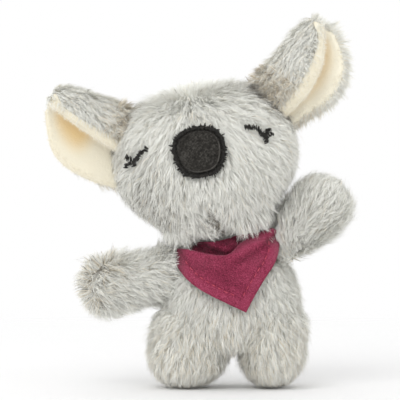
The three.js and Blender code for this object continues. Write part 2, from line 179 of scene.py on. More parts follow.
def closedForm(surf, columns, rows):
    # the surface at columns round s and rows along t, with one point at each end
    s, t = np.meshgrid(np.arange(columns) / columns, np.linspace(0, 1, rows + 1)[1:-1])
    start = np.zeros(1)
    points = np.concatenate([surf(s, t).reshape(-1, 3), surf(start, start), surf(start, start + 1)])
    i, j = np.meshgrid(np.arange(columns), np.arange(rows - 2))
    a, b = (j * columns + i).ravel(), (j * columns + (i + 1) % columns).ravel()
    walls = np.concatenate([np.stack([a, b, b + columns], 1), np.stack([a, b + columns, a + columns], 1)])
    k = np.arange(columns)
    n, last = (k + 1) % columns, (rows - 2) * columns
    low = np.stack([n, k, np.full(columns, len(points) - 2)], 1)
    high = np.stack([last + k, last + n, np.full(columns, len(points) - 1)], 1)
    return points, np.concatenate([walls, low, high])


def gridNormals(grid):
    # across one step of the columns and one of the rows
    return unit(np.cross(np.gradient(grid, axis=1), np.gradient(grid, axis=0)))


def slab(grid, thickness, roundness=2, taper=0.3):
    # a sheet between two offsets of a grid of points, closed at its rim; over the last few rows and
    # columns its thickness falls off as a circle does, to the share that taper gives
    rows, columns = grid.shape[:2]
    j = np.minimum(np.arange(rows), np.arange(rows)[::-1])[:, None]
    i = np.minimum(np.arange(columns), np.arange(columns)[::-1])[None, :]
    edge = np.minimum(j, i) / roundness
    bulge = np.sqrt(np.clip(1 - (1 - np.clip(edge, 0, 1)) ** 2, 0, 1))
    half = thickness / 2 * (taper + (1 - taper) * bulge)
    normal = gridNormals(grid)
    front, back = grid + normal * half[..., None], grid - normal * half[..., None]
    points = np.concatenate([front.reshape(-1, 3), back.reshape(-1, 3)])
    i, j = np.meshgrid(np.arange(columns - 1), np.arange(rows - 1))
    a = (j * columns + i).ravel()
    layer = rows * columns
    fronts = np.stack([a, a + 1, a + columns + 1, a + columns], 1)
    backs = np.stack([a, a + columns, a + columns + 1, a + 1], 1) + layer
    rim = np.concatenate([
        np.arange(columns - 1), np.arange(rows - 1) * columns + columns - 1,
        (rows - 1) * columns + np.arange(columns - 1, 0, -1), np.arange(rows - 1, 0, -1) * columns])
    after = np.roll(rim, -1)
    sides = np.stack([rim + layer, after + layer, after, rim], 1)
    return points, np.concatenate([fronts, backs, sides])


def ringFaces(sides, count):
    # triangles over count rings of points, closed by a fan to one more point at each end
    i, j = np.meshgrid(np.arange(sides), np.arange(count - 1))
    a, b = (j * sides + i).ravel(), (j * sides + (i + 1) % sides).ravel()
    k = np.arange(sides)
    n, last, total = (k + 1) % sides, (count - 1) * sides, count * sides
    return np.concatenate([
        np.stack([b, a, a + sides], 1), np.stack([b, a + sides, b + sides], 1),
        np.stack([k, n, np.full(sides, total)], 1),
        np.stack([last + n, last + k, np.full(sides, total + 1)], 1)])


def tubes(paths, girths, up, sides=6, flat=1.0):
    # tubes along many paths at once: a ring at each inner point, of that girth, and a point at each end
    count, steps = paths.shape[:2]
    along = unit(np.gradient(paths, axis=1))
    side = unit(np.cross(along, np.broadcast_to(up[:, None, :], along.shape)))
    top = np.cross(side, along)
    angle = np.arange(sides) * 2 * np.pi / sides
    ring = side[:, :, None] * np.cos(angle)[:, None] + top[:, :, None] * np.sin(angle)[:, None] * flat
    rings = (paths[:, :, None] + ring * girths[:, :, None, None])[:, 1:-1]
    points = np.concatenate([rings.reshape(count, -1, 3), paths[:, :1], paths[:, -1:]], axis=1)
    faces = ringFaces(sides, steps - 2)[None] + (np.arange(count) * points.shape[1])[:, None, None]
    return points.reshape(-1, 3), faces.reshape(-1, 3)


def fit(piece, body, slot, *nodes):
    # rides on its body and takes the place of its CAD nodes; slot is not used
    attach(piece, body)
    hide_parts(*nodes)


def sheetArea(grid):
    # half the cross product of each cell's diagonals
    a = grid[1:, 1:] - grid[:-1, :-1]
    b = grid[1:, :-1] - grid[:-1, 1:]
    return np.linalg.norm(np.cross(a, b), axis=-1).sum() / 2


def declareCloth(piece, grid):
    # its flat size is the grid's longest row and longest column, and its area the sum over the cells
    width, length = [np.linalg.norm(np.diff(grid, axis=k), axis=-1).sum(k).max() for k in (1, 0)]
    area = sheetArea(grid)
    print(f"{piece.name}: cloth {width:.0f} x {length:.0f} mm, {area:.0f} mm2")


# materials: a small class that carries a socket, so that shader maths reads as sums

class Shade:
    def __init__(self, tree, socket):
        self.tree, self.socket = tree, socket

    def maths(self, operation, first, second=None):
        # one Math node; a number goes straight into its socket
        node = self.tree.nodes.new("ShaderNodeMath")
        node.operation = operation
        for place, value in enumerate([first, second][: 1 if second is None else 2]):
            if isinstance(value, Shade):
                self.tree.links.new(value.socket, node.inputs[place])
            else:
                node.inputs[place].default_value = value
        return Shade(self.tree, node.outputs[0])

    def __add__(self, other):
        return self.maths("ADD", self, other)

    def __radd__(self, other):
        return self.maths("ADD", other, self)

    def __sub__(self, other):
        return self.maths("SUBTRACT", self, other)

    def __mul__(self, other):
        return self.maths("MULTIPLY", self, other)

    def __rmul__(self, other):
        return self.maths("MULTIPLY", other, self)

    def sine(self):
        return self.maths("SINE", self)

    def least(self, other):
        # the smaller of the two
        return self.maths("MINIMUM", self, other)

    def most(self, other):
        # the larger of the two
        return self.maths("MAXIMUM", self, other)


class Finish:
    def __init__(self, name):
        self.material = bpy.data.materials.new(name)
        self.material.use_nodes = True
        self.tree = self.material.node_tree
        self.shader = self.tree.nodes["Principled BSDF"]

    def node(self, kind, settings=None, sockets=None, out=0):
        # a node with its settings, and its sockets linked to others or set to values
        node = self.tree.nodes.new(kind)
        for key, value in (settings or {}).items():
            if key == "stops":
                ramp = node.color_ramp
                while len(ramp.elements) < len(value):
                    ramp.elements.new(0.5)
                for element, (place, color) in zip(ramp.elements, value):
                    element.position, element.color = place, (*color, 1)
            else:
                setattr(node, key, value)
        for key, value in (sockets or {}).items():
            if isinstance(value, Shade):
                self.tree.links.new(value.socket, node.inputs[key])
            else:
                node.inputs[key].default_value = value
        return Shade(self.tree, node.outputs[out])

    def place(self):
        # the point on the object, in metres
        return self.node("ShaderNodeTexCoord", out="Object")

    def parts(self, vector):
        # the three coordinates of a vector
        split = self.tree.nodes.new("ShaderNodeSeparateXYZ")
        self.tree.links.new(vector.socket, split.inputs[0])
        return [Shade(self.tree, socket) for socket in split.outputs]

    def uvParts(self):
        # the map's x and y
        return self.parts(self.node("ShaderNodeUVMap", {"uv_map": "OFBake"}))[:2]

    def noise(self, scale, detail, vector=None):
        # about scale bumps to the metre, each level of detail half the size of the last
        sockets = {"Vector": vector or self.place(), "Scale": scale, "Detail": detail}
        return self.node("ShaderNodeTexNoise", None, sockets)

    def ramp(self, value, *stops):
        # the colour at value, in straight steps between the stops
        return self.node("ShaderNodeValToRGB", {"stops": stops}, {"Fac": value})

    def blend(self, first, second, factor):
        # sockets 6 and 7 are the two colours of a colour mix
        colors = [value if isinstance(value, Shade) else (*value, 1) for value in (first, second)]
        sockets = {0: factor, 6: colors[0], 7: colors[1]}
        return self.node("ShaderNodeMix", {"data_type": "RGBA"}, sockets, out=2)

    def bump(self, height, distance, strength=1.0):
        # normals tilted by the slope of height times distance, in metres
        sockets = {"Height": height, "Distance": distance, "Strength": strength}
        return self.node("ShaderNodeBump", None, sockets)

    def wear(self, **sockets):
        # gives the shader its inputs, and returns the material
        names = {"color": "Base Color", "rough": "Roughness", "normal": "Normal", "sheen": "Sheen Weight",
                 "sheenRough": "Sheen Roughness", "gloss": "Specular IOR Level"}
        for key, value in sockets.items():
            socket = self.shader.inputs[names[key]]
            if isinstance(value, Shade):
                self.tree.links.new(value.socket, socket)
            else:
                socket.default_value = (*value, 1) if key == "color" else value
        return self.material


def srgb(r, g, b):
    # a screen colour from 0 to 255 as linear light: the standard curve, straight near black and a power above
    c = np.array([r, g, b]) / 255
    return tuple(float(v) for v in np.where(c < 0.04045, c / 12.92, ((c + 0.055) / 1.055) ** 2.4))


furLook = dict(
    # at each place along the map's x, the strand's colour
    stops=[(0.02, srgb(112, 106, 96)), (0.07, srgb(226, 226, 220)), (0.3, srgb(247, 247, 241)),
           (0.49, srgb(255, 255, 250)), (0.51, srgb(196, 184, 164)), (0.7, srgb(238, 230, 212)),
           (0.98, srgb(254, 250, 240))],
    # the painted shade at the strands' roots and how fast it fades; seam is a dark colour painted as shade on
    # the backing at the paw's seam
    rootPaintedShade=0.94, rootFade=1.6, seam=srgb(98, 92, 80),
    backing=[(0.3, srgb(226, 227, 224)), (0.7, srgb(242, 242, 239))])


def furFinish():
    # x of the map picks the strand's tone, grey below a half and beige above; y runs from root to tip, and
    # the colour rises along it from the painted shade at the root, which stands in for the pile's own shadow,
    # to its own
    look = Finish("koala fur")
    tone, along = look.uvParts()
    root = furLook["rootPaintedShade"]
    shade = root + (1 - root) * (along * furLook["rootFade"]).least(1.0)
    color = look.blend((0, 0, 0), look.ramp(tone, *furLook["stops"]), shade)
    return look.wear(color=color, rough=0.75, sheen=0.25, sheenRough=0.4, gloss=0.25)


def backingFinish():
    # mottled by a fine noise, and darker with the map's x: painted shade along the seam of the paw
    look = Finish("fur backing")
    fine = look.noise(900, 3)
    color = look.blend(look.ramp(fine, *furLook["backing"]), furLook["seam"], look.uvParts()[0])
    return look.wear(color=color, rough=0.95, normal=look.bump(fine, 0.0004))


furMaterial, backingMaterial = furFinish(), backingFinish()


# fur

# triangles of one strand: three points at its root, three more at the middle of a bent one, and its tip
bentStrand = np.array([[0, 1, 4], [0, 4, 3], [1, 2, 5], [1, 5, 4], [2, 0, 3], [2, 3, 5],
                       [3, 4, 6], [4, 5, 6], [5, 3, 6], [0, 2, 1]])
straightStrand = np.array([[0, 1, 3], [1, 2, 3], [2, 0, 3], [0, 2, 1]])
strandCount = {"bent": 0, "straight": 0}

# the coat of the head, the torso and the limbs: strands to the square millimetre and to a tuft, how many
# of a tuft's are bent, and how far they stand apart, are drawn together and turn, in millimetres and degrees
plainFur = dict(density=13.4, perTuft=9, bent=3, tuftRadius=0.55, width=0.195, clump=0.5,
                tuftTurn=14, strandTurn=10)

# what holds for all pile; a pair is how much a value varies from tuft to tuft and from strand to strand
furRule = dict(
    lengthSpread=(0.16, 0.12), lengthLimits=(0.45, 1.5), riseSpread=(0.3, 0.22), riseLimits=(0.15, 2.4),
    stray=0.06, strayRise=1.55, steepest=0.85, middle=0.45, bow=0.72, sway=0.25, rootDepth=0.3,
    girthLeast=0.7, girthMore=0.6, flatness=0.4, middleGirth=0.85, lowest=0.12,
    tone=0.52, toneSpread=(0.08, 0.16), toneLimits=(0.01, 0.98), pieceTriangles=195000)


def tangents(surf, s, t):
    # the point, its outward normal, and the slopes along s and t from small differences
    e = 1e-4
    t = np.clip(t, e, 1 - e)
    slopeS = (surf(s + e, t) - surf(s - e, t)) / (2 * e)
    slopeT = (surf(s, t + e) - surf(s, t - e)) / (2 * e)
    return surf(s, t), unit(np.cross(slopeS, slopeT)), slopeS, slopeT


def slide(surf, s, t, move, widest=0.09):
    # s and t after a move along the surface: the move solved for its shares of the two slopes
    _, _, p, q = tangents(surf, s, t)
    a, b, c = dot(p, p)[..., 0], dot(p, q)[..., 0], dot(q, q)[..., 0]
    x, y = dot(p, move)[..., 0], dot(q, move)[..., 0]
    det = np.maximum(a * c - b * b, 1e-3)
    stepS, stepT = (c * x - b * y) / det, (a * y - b * x) / det
    return s + np.clip(stepS, -widest, widest), np.clip(t + np.clip(stepT, -widest, widest), 0.002, 0.998)


def gridSurface(grid):
    # the surface through a grid of points, each place mixed from the four round it
    rows, columns = grid.shape[:2]

    def surf(s, t):
        x, y = np.clip(s, 0, 1) * (columns - 1), np.clip(t, 0, 1) * (rows - 1)
        i, j = np.minimum(x.astype(int), columns - 2), np.minimum(y.astype(int), rows - 2)
        u, v = (x - i)[..., None], (y - j)[..., None]
        near = (1 - u) * grid[j, i] + u * grid[j, i + 1]
        far = (1 - u) * grid[j + 1, i] + u * grid[j + 1, i + 1]
        return (1 - v) * near + v * far

    return surf


def scatter(surf, count, low=(0, 0), high=(1, 1)):
    # places spread by area: cells of a grid are drawn by their share of the area, then jittered inside
    cells = 90
    s, t = np.meshgrid(low[0] + (np.arange(cells) + 0.5) / cells * (high[0] - low[0]),
                       low[1] + (np.arange(cells) + 0.5) / cells * (high[1] - low[1]))
    _, _, p, q = tangents(surf, s, t)
    area = np.linalg.norm(np.cross(p, q), axis=-1).ravel()
    total = np.cumsum(area)
    pick = np.searchsorted(total, (np.arange(count) + dice.random(count)) / count * total[-1])
    pick = np.minimum(pick, cells * cells - 1)
    jitterS = (dice.random(count) - 0.5) / cells * (high[0] - low[0])
    jitterT = (dice.random(count) - 0.5) / cells * (high[1] - low[1])
    return s.ravel()[pick] + jitterS, t.ravel()[pick] + jitterT


def surfaceArea(surf, low=(0, 0), high=(1, 1)):
    # the mean size of the slopes' cross product, times the share of s and t that is covered
    s, t = np.meshgrid(np.linspace(low[0], high[0], 80), np.linspace(low[1] + 0.003, high[1] - 0.003, 80))
    _, _, p, q = tangents(surf, s, t)
    return np.linalg.norm(np.cross(p, q), axis=-1).mean() * (high[0] - low[0]) * (high[1] - low[1])


def varied(middle, spread, shape):
    # the middle, plus a bell-curve draw for each tuft and one for each strand, each times its spread
    return middle + dice.normal(size=(shape[0], 1)) * spread[0] + dice.normal(size=shape) * spread[1]


def growFur(name, body, surf, fur, flow, tone, keep=None, press=None, low=(0, 0), high=(1, 1)):
    # strands stand in tufts: each leaves the skin, bows over at its middle and leans with the flow,
    # and its tip is drawn part of the way to its tuft's tip
    rule = furRule
    per = fur["perTuft"]
    tufts = int(surfaceArea(surf, low, high) * fur["density"] / per)
    shape = (tufts, per)
    s, t = scatter(surf, tufts, low, high)
    _, _, p, q = tangents(surf, s, t)
    angle, far = dice.random(shape) * 6.2832, np.sqrt(dice.random(shape)) * fur["tuftRadius"]
    far[:, 0] = 0
    p, q = unit(p)[:, None], unit(q)[:, None]
    move = p * (far * np.cos(angle))[..., None] + q * (far * np.sin(angle))[..., None]
    s, t = slide(surf, np.repeat(s[:, None], per, 1), np.repeat(t[:, None], per, 1), move)
    root, normal, _, _ = tangents(surf, s, t)
    way = flow(root, normal)
    way = unit(way - normal * dot(way, normal))
    turn = np.radians(varied(0, (fur["tuftTurn"], fur["strandTurn"]), shape)[..., None])
    way = way * np.cos(turn) + np.cross(normal, way) * np.sin(turn)
    length = fur["length"] * np.clip(varied(1, rule["lengthSpread"], shape), *rule["lengthLimits"])
    rise = fur["rise"] * np.clip(varied(1, rule["riseSpread"], shape), *rule["riseLimits"])
    if "lift" in fur:
        rise = rise * fur["lift"](root)
    rise = rise * np.where(dice.random(shape) < fur.get("stray", rule["stray"]), rule["strayRise"], 1)
    rise = np.minimum(rise, rule["steepest"] * length)
    reach = np.sqrt(length ** 2 - rise ** 2)
    toMiddle = way * (reach * rule["middle"])[..., None]
    if fur.get("free"):  # straight on, away from the surface where that curves
        middle, middleNormal = root + toMiddle, normal
        tip, tipNormal = root + way * reach[..., None], normal
    else:
        s, t = slide(surf, s, t, toMiddle)
        middle, middleNormal, _, _ = tangents(surf, s, t)
        onward = way - middleNormal * dot(way, middleNormal)
        s, t = slide(surf, s, t, onward * (reach * (1 - rule["middle"]))[..., None])
        tip, tipNormal, _, _ = tangents(surf, s, t)
    calm, calmTip = (press(middle), press(tip)) if press else (1, 1)
    sway = (dice.normal(size=shape) * rule["sway"])[..., None]
    bow = middleNormal * (rise * rule["bow"] * calm)[..., None]
    middle = middle + bow + np.cross(middleNormal, way) * sway
    tip = tip + tipNormal * (rise * calmTip)[..., None]
    draw = (fur["clump"] * (0.6 + 0.8 * dice.random(shape)))[..., None]
    tip = tip + (tip[:, :1] - tip) * draw
    middle = middle + (middle[:, :1] - middle) * draw * rule["middle"]
    points = strandPoints(root - normal * rule["rootDepth"], middle, tip, normal, fur["width"])
    uv = strandMap(*tone(middle, middleNormal), shape)
    alive = np.ones(shape, bool) if keep is None else keep(root)
    bent = np.broadcast_to(np.arange(per) < fur["bent"], shape)
    for kind, corners, one, pick in (("", [0, 1, 2, 3, 4, 5, 6], bentStrand, alive & bent),
                                     ("_under", [0, 1, 2, 6], straightStrand, alive & ~bent)):
        if pick.any():
            furPieces(name + kind, body, points[pick][:, corners], uv[pick][:, corners], one)
    strandCount["bent"] += int((alive & bent).sum())
    strandCount["straight"] += int((alive & ~bent).sum())
    print(f"{name}: {int(alive.sum())} strands")


def strandPoints(base, middle, tip, normal, width):
    # a flattened triangle round the base, a smaller one round the middle, and the tip; none below the floor
    side = unit(np.cross(unit(middle - base), normal))
    top = np.cross(side, unit(middle - base))
    least, more, flat = furRule["girthLeast"], furRule["girthMore"], furRule["flatness"]
    girth = width / 2 * (least + more * dice.random(base.shape[:2]))[..., None]
    corners = (0.5236, 2.618, 4.712)  # 30, 150 and 270 degrees
    ring = [side * math.cos(a) * girth + top * math.sin(a) * girth * flat for a in corners]
    rings = [base + r for r in ring] + [middle + r * furRule["middleGirth"] for r in ring]
    points = np.stack(rings + [tip], axis=2)
    points[..., 2] = np.maximum(points[..., 2], furRule["lowest"])
    return points


def strandMap(shade, warm, shape):
    # x is the strand's tone, in the grey half of the ramp or the beige one; y is the place along the strand
    value = np.clip(varied(furRule["tone"], furRule["toneSpread"], shape) + shade, *furRule["toneLimits"])
    isWarm = dice.random(shape) < np.broadcast_to(warm, shape)
    x = (0.02 + 0.44 * value + 0.5 * isWarm)[..., None] + np.array([-0.008, 0.008, 0, -0.008, 0.008, 0, 0])
    y = np.broadcast_to(np.array([0.02, 0.02, 0.06, 0.5, 0.5, 0.54, 0.98]), x.shape)
    return np.stack([x, y], -1)


def furPieces(name, body, points, uv, one):
    # as few objects as the limit of triangles allows, each a slice from the toy's right to its left
    order = np.argsort(points[:, 0, 0], kind="stable")
    count = math.ceil(len(points) * len(one) / furRule["pieceTriangles"])
    for part, members in enumerate(np.array_split(order, count)):
        chunk, chunkUv = points[members], uv[members]
        faces = (one[None] + (np.arange(len(chunk)) * chunk.shape[1])[:, None, None]).reshape(-1, 3)
        label = f"{name}_{part + 1}" if count > 1 else name
        chunk, chunkUv = chunk.reshape(-1, 3), chunkUv.reshape(-1, 2)
        piece = meshPiece(label, chunk, faces, furMaterial, chunkUv, smooth=False)
        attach(piece, body)


def skinPiece(name, body, surf, nodes, columns, rows, shade=None):
    # the cloth under the pile, closed, in the place of its CAD nodes
    points, faces = closedForm(surf, columns, rows)
    uv = np.zeros((len(points), 2))
    if shade:
        uv[:, 0] = shade(points)
    piece = meshPiece(name, points, faces, backingMaterial, uv)
    fit(piece, body, "fur_plush", *nodes)


def ringForm(rows, squareness, origin, across, along):
    # a point is origin + across * (centre + width * cos) + back * depth * sin + along * height,
    # with cos and sin softened to a superellipse; s = 0 is the front
    across, along = unit(np.array(across, float)), unit(np.array(along, float))
    back = np.cross(along, across)

    def surf(s, t):
        height, centre, width, depth = np.moveaxis(rowsAt(rows, t), -1, 0)
        angle = 2 * np.pi * s - np.pi / 2
        x = centre + np.maximum(width, 0) * soft(np.cos(angle), squareness)
        y = np.maximum(depth, 0) * soft(np.sin(angle), squareness)
        return origin + across * x[..., None] + back * y[..., None] + along * height[..., None]

    return surf


# head

head = dict(
    width=66, height=54.6, depth=50.2, shift=-0.5, squareness=2.15, bottom=4.8, pile=3.2, fill=0.9,
    rows=[[0, 0, 0], [0.01, 0.31, 0.28], [0.035, 0.46, 0.42], [0.08, 0.55, 0.55], [0.15, 0.65, 0.7],
          [0.24, 0.785, 0.835], [0.345, 0.915, 0.95], [0.47, 0.985, 1], [0.59, 1, 1.01], [0.7, 0.97, 0.99],
          [0.79, 0.9, 0.925], [0.86, 0.815, 0.835], [0.925, 0.69, 0.695], [0.965, 0.51, 0.485],
          [0.99, 0.28, 0.25], [1, 0, 0]],
    fur=dict(plainFur, length=5.4, rise=2.7))

neckPoint = pivot("head_nod")
headUp = np.array(joints["head_turn"]["axis"])
headSide = np.array([headUp[2], 0, -headUp[0]])
headBack = np.array([0.0, 1, 0])


def headPlace(x, y, z):
    # from the head's own frame, whose origin is the neck pivot, to the toy's
    return neckPoint + x[..., None] * headSide + y[..., None] * headBack + z[..., None] * headUp


def headLocal(points):
    # the other way: the shares of each point along the head's three directions
    away = points - neckPoint
    return away @ headSide, away @ headBack, away @ headUp


def formRows(form, inset):
    # shares of the full size, made smaller all round by inset
    return [[form["bottom"] + inset + h * (form["height"] - 2 * inset), form["shift"],
             w * (form["width"] / 2 - inset), d * (form["depth"] / 2 - inset)] for h, w, d in form["rows"]]


def faceDepth(x, z):
    # how far in front of the head's axis its surface is at a point of its front view,
    # from the superellipse that the head's rows give at that height
    rows = np.array(formRows(head, 0.0))
    fine = rowsAt(rows, np.linspace(0, 1, 600))
    width, depth = np.interp(z, fine[:, 0], fine[:, 2]), np.interp(z, fine[:, 0], fine[:, 3])
    across = np.minimum(np.abs(x - head["shift"]) / np.maximum(width, 1e-3), 1)
    return depth * (1 - across ** head["squareness"]) ** (1 / head["squareness"])


def onFace(x, z, lift):
    # a point of the front view on the face, moved forward by lift
    return headPlace(x, -faceDepth(x, z) - lift, z)


def faceNormal(x, z):
    # square to the face's slopes across and up, from small differences
    e = 0.3
    a = onFace(x + e, z, 0 * x) - onFace(x - e, z, 0 * x)
    b = onFace(x, z + e, 0 * x) - onFace(x, z - e, 0 * x)
    return unit(np.cross(a, b))


nose = dict(
    x=-1.85, z=36.5, width=18.4, height=18.1, lift=-1.0, dome=0.75, border=0.83, stitchGirth=0.24,
    stitches=170, backing=0.3,
    # the sewn ridge and the groove outside it, as shares of the way from the middle to the outline
    ridge=0.75, ridgeWidth=0.022, ridgeHeight=(0.35, 0.3), wornWidth=0.02, worn=0.5,
    groove=0.07, grooveWidth=0.03, grooveDepth=0.25,
    outline=[[-0.497, 0], [-0.487, 0.204], [-0.375, 0.376], [-0.19, 0.462], [0, 0.478], [0.19, 0.455],
             [0.367, 0.37], [0.475, 0.2], [0.49, 0], [0.445, -0.187], [0.358, -0.361], [0.195, -0.475],
             [0, -0.497], [-0.195, -0.475], [-0.37, -0.377], [-0.468, -0.197]])

eyes = dict(
    width=1.95, pitch=0.34, girth=0.25, lift=-0.6,
    # each eye is its closed lid and two lashes, as points of the front view
    right=[[[-19.1, 41.1], [-20.4, 40.4], [-22.0, 39.5], [-23.2, 38.6], [-24.0, 37.4], [-24.5, 35.9]],
           [[-23.9, 37.4], [-25.6, 38.5], [-26.9, 39.6]],
           [[-24.4, 36.9], [-25.7, 37.3], [-27.0, 36.8], [-27.7, 36.1]]],
    left=[[[14.7, 41.3], [16.5, 40.9], [17.8, 40.6], [19.0, 39.5], [19.9, 38.2], [20.5, 37.1], [21.0, 35.8],
           [21.1, 34.7]],
          [[20.8, 37.1], [22.0, 38.2], [22.8, 39.1]],
          [[20.9, 36.5], [22.5, 37.0], [23.7, 37.0]]])

noseSize, noseMiddle = np.array([nose["width"], nose["height"]]), np.array([nose["x"], nose["z"]])
noseRing = evenly(nose["outline"], 180, closed=True) * noseSize + noseMiddle
noseAngles = np.arctan2(noseRing[:, 1] - nose["z"], noseRing[:, 0] - nose["x"])
noseRadii = np.hypot(noseRing[:, 0] - nose["x"], noseRing[:, 1] - nose["z"])
noseOrder = np.argsort(noseAngles)


def noseShare(x, z):
    # 0 at the middle of the nose and 1 on its outline
    angle = np.arctan2(z - nose["z"], x - nose["x"])
    radius = np.interp(angle, noseAngles[noseOrder], noseRadii[noseOrder], period=2 * np.pi)
    return np.hypot(x - nose["x"], z - nose["z"]) / radius


eyePoints = np.concatenate([evenly(line, 9) for side in ("right", "left") for line in eyes[side]])


def eyeDistance(x, z):
    # to the nearest of the points along the eyes' lines
    near = np.full(x.shape, 99.0)
    for px, pz in eyePoints:
        near = np.minimum(near, np.hypot(x - px, z - pz))
    return near


crown = headPlace(np.array(-1.5), np.array(-9.0), np.array(54.0))
partTop, partLow = np.array([1.7, 64.2]), np.array([6.9, 54.2])  # the parting in the chin fur, x and z


def partAside(points):
    # how far a point is to the side of the parting, a line from partTop to partLow
    share = (partTop[1] - points[..., 2]) / (partTop[1] - partLow[1])
    return points[..., 0] - (partTop[0] + share * (partLow[0] - partTop[0]))


def partShare(points):
    # 1 on the chin's parting, and less with the square of the distance from it
    upper, lower = ease(66, 59, points[..., 2]), ease(50, 54, points[..., 2])
    return bell(partAside(points), 1) * upper * lower * (points[..., 1] < 0)


def headFlow(points, normal):
    # away from the crown, and towards the chin's parting just above the neck
    way = unit(points - crown)
    aside = partAside(points)
    pull = bell(aside, 9) * ease(70, 60, points[..., 2]) * (points[..., 1] < 0)
    way[..., 0] -= np.tanh(aside / 1.6) * pull * 0.75
    wander = blobs(points, 14, 5)[..., None] * 0.13
    return way + np.cross(normal, way) * wander


# where each ear leaves the head, seen from the front
earRoots = np.concatenate([evenly([[-22.9, 58.4], [-27, 50.5], [-31.1, 42.6]], 14),
                           evenly([[19.4, 53.9], [25.1, 47.4], [30.8, 41], [32.6, 38]], 16)])

# amounts for the head's pile: mottle at random; painted shade by the ears' roots, on the cheek and in the
# parting; painted light on the forehead; the top darker and the crown paler and warmer
headShades = dict(mottle=0.08, earEdgePaintedShade=0.55, earNearPaintedShade=0.22, cheekPaintedShade=0.27, foreheadPaintedLight=0.19, top=0.24, parting=0.78,
                  crown=0.1, warm=0.05, warmCrown=0.3)
headPressed = dict(nose=0.42, eyes=0.75, parting=0.5)


def fromCrown(points):
    # how far each point is from the crown
    return np.linalg.norm(points - crown, axis=-1)


def headTone(points, normal):
    # mottled; darker with painted shade round the ears' roots, on the cheek and in the parting, paler with
    # painted light on the forehead; darker over the top, and paler at the crown
    tint = headShades
    x, y, z = headLocal(points)
    near = np.hypot(x[..., None] - earRoots[:, 0], z[..., None] - earRoots[:, 1]).min(-1)
    earPaintedShade = tint["earEdgePaintedShade"] * bell(near, 1.5) + tint["earNearPaintedShade"] * bell(near, 6)
    earPaintedShade = earPaintedShade * ease(6, 0, y)
    tuft = bell(fromCrown(points), 3.5)
    cheekPaintedShade = tint["cheekPaintedShade"] * ease(-8, -20, x) * ease(44, 34, z)
    foreheadPaintedLight = tint["foreheadPaintedLight"] * ease(26, 40, z) - tint["top"] * ease(48, 56, z)
    shade = tint["mottle"] * blobs(points, 9, 3) - cheekPaintedShade + foreheadPaintedLight - tint["parting"] * partShare(points)
    return shade - earPaintedShade + tint["crown"] * tuft, tint["warm"] + tint["warmCrown"] * tuft


def headKeep(points):
    # none under the nose's felt, under the eyes' thread, nor in front where the chin meets the neck
    x, y, z = headLocal(points)
    under = (y < -5) & (z < 7.7 + 0.09 * np.abs(x)) & (x > -8) & (x < 4)
    return ~((y < 0) & ((noseShare(x, z) < 0.86) | (eyeDistance(x, z) < 0.5) | under))


def headPress(points):
    # how far strands may rise: less over the nose's rim, round the eyes and in the parting
    x, y, z = headLocal(points)
    overNose = 1 - (1 - ease(1.0, 1.2, noseShare(x, z))) * headPressed["nose"]
    overEye = 1 - (1 - ease(0.6, 2, eyeDistance(x, z))) * headPressed["eyes"]
    return np.where(y < 0, overNose * overEye * (1 - headPressed["parting"] * partShare(points)), 1.0)


def headLift(points):
    # lower over the middle of the face, and higher round the crown
    z = headLocal(points)[2]
    whorl = 0.3 * bell(fromCrown(points), 11)
    return 1 - 0.3 * ease(28, 40, z) * ease(56, 48, z) + whorl


headSurface = ringForm(formRows(head, head["pile"]), head["squareness"], neckPoint, headSide, headUp)
skinPiece("head_backing", "head", headSurface, ["head_skin", "head_filling"], 96, 64)
headFur = dict(head["fur"], lift=headLift)
growFur("head_fur", "head", headSurface, headFur, headFlow, headTone, headKeep, headPress)

chinFur = dict(head["fur"], density=8, length=5.6, rise=3.7, tuftRadius=0.8, clump=0.6, tuftTurn=20)


def chinKeep(points):
    # the lower edge of the face in front, which hangs lower at both sides
    x, y, z = headLocal(points)
    low = 8 + 0.09 * np.abs(x) - 2 * ease(-6, -11, x) - 2.4 * ease(2, 8, x)
    return (z > low) & (z < 13 + 0.1 * np.abs(x)) & (y < -4) & (x > -17) & (x < 19)


def chinTone(points, normal):
    # pale, and darker in the parting with painted shadow
    return 0.12 - 0.7 * partShare(points), 0.05


growFur("chin_fringe", "head", headSurface, chinFur, headFlow, chinTone, chinKeep,
        low=(-0.25, 0.05), high=(0.25, 0.5))

# a fringe that hangs over both ends of the neckerchief's top
jawFur = dict(head["fur"], density=11, length=7.2, rise=5.7, clump=0.55, tuftTurn=16, free=True)


def jawKeep(points):
    # a low band of the front, in one stretch at each side of the chin
    x, y, z = headLocal(points)
    stretches = ((x > 5.5) & (x < 21)) | ((x < -11.5) & (x > -18.5))
    return (y < -1.5) & (z > 8.6) & (z < 12.2 + 0.12 * np.abs(x)) & stretches


def jawTone(points, normal):
    # pale all over
    return 0.14, 0.05


growFur("jaw_fringe", "head", headSurface, jawFur, headFlow, jawTone, jawKeep,
        low=(-0.25, 0.03), high=(0.25, 0.5))

neckRows = [[-7, 0, 0, 0], [-6, 0, 4, 4], [-2, 0, 6.6, 6.6], [2, 0, 6.6, 6.6], [7, 0, 6.2, 6.2],
            [11, 0, 6, 6], [11.5, 0, 0, 0]]
neckSurface = ringForm(neckRows, 2, neckPoint, headSide, headUp)
skinPiece("neck_core", "neck", neckSurface, ["neck_filling"], 32, 16)
print("head done")


# nose and eyes

feltLook = dict(
    fibres=[(0.3, srgb(26, 25, 23)), (0.5, srgb(48, 46, 43)), (0.7, srgb(80, 78, 74))],
    worn=srgb(128, 125, 119), stretch=(1, 1, 2.2), turns=(0.7, -0.85))


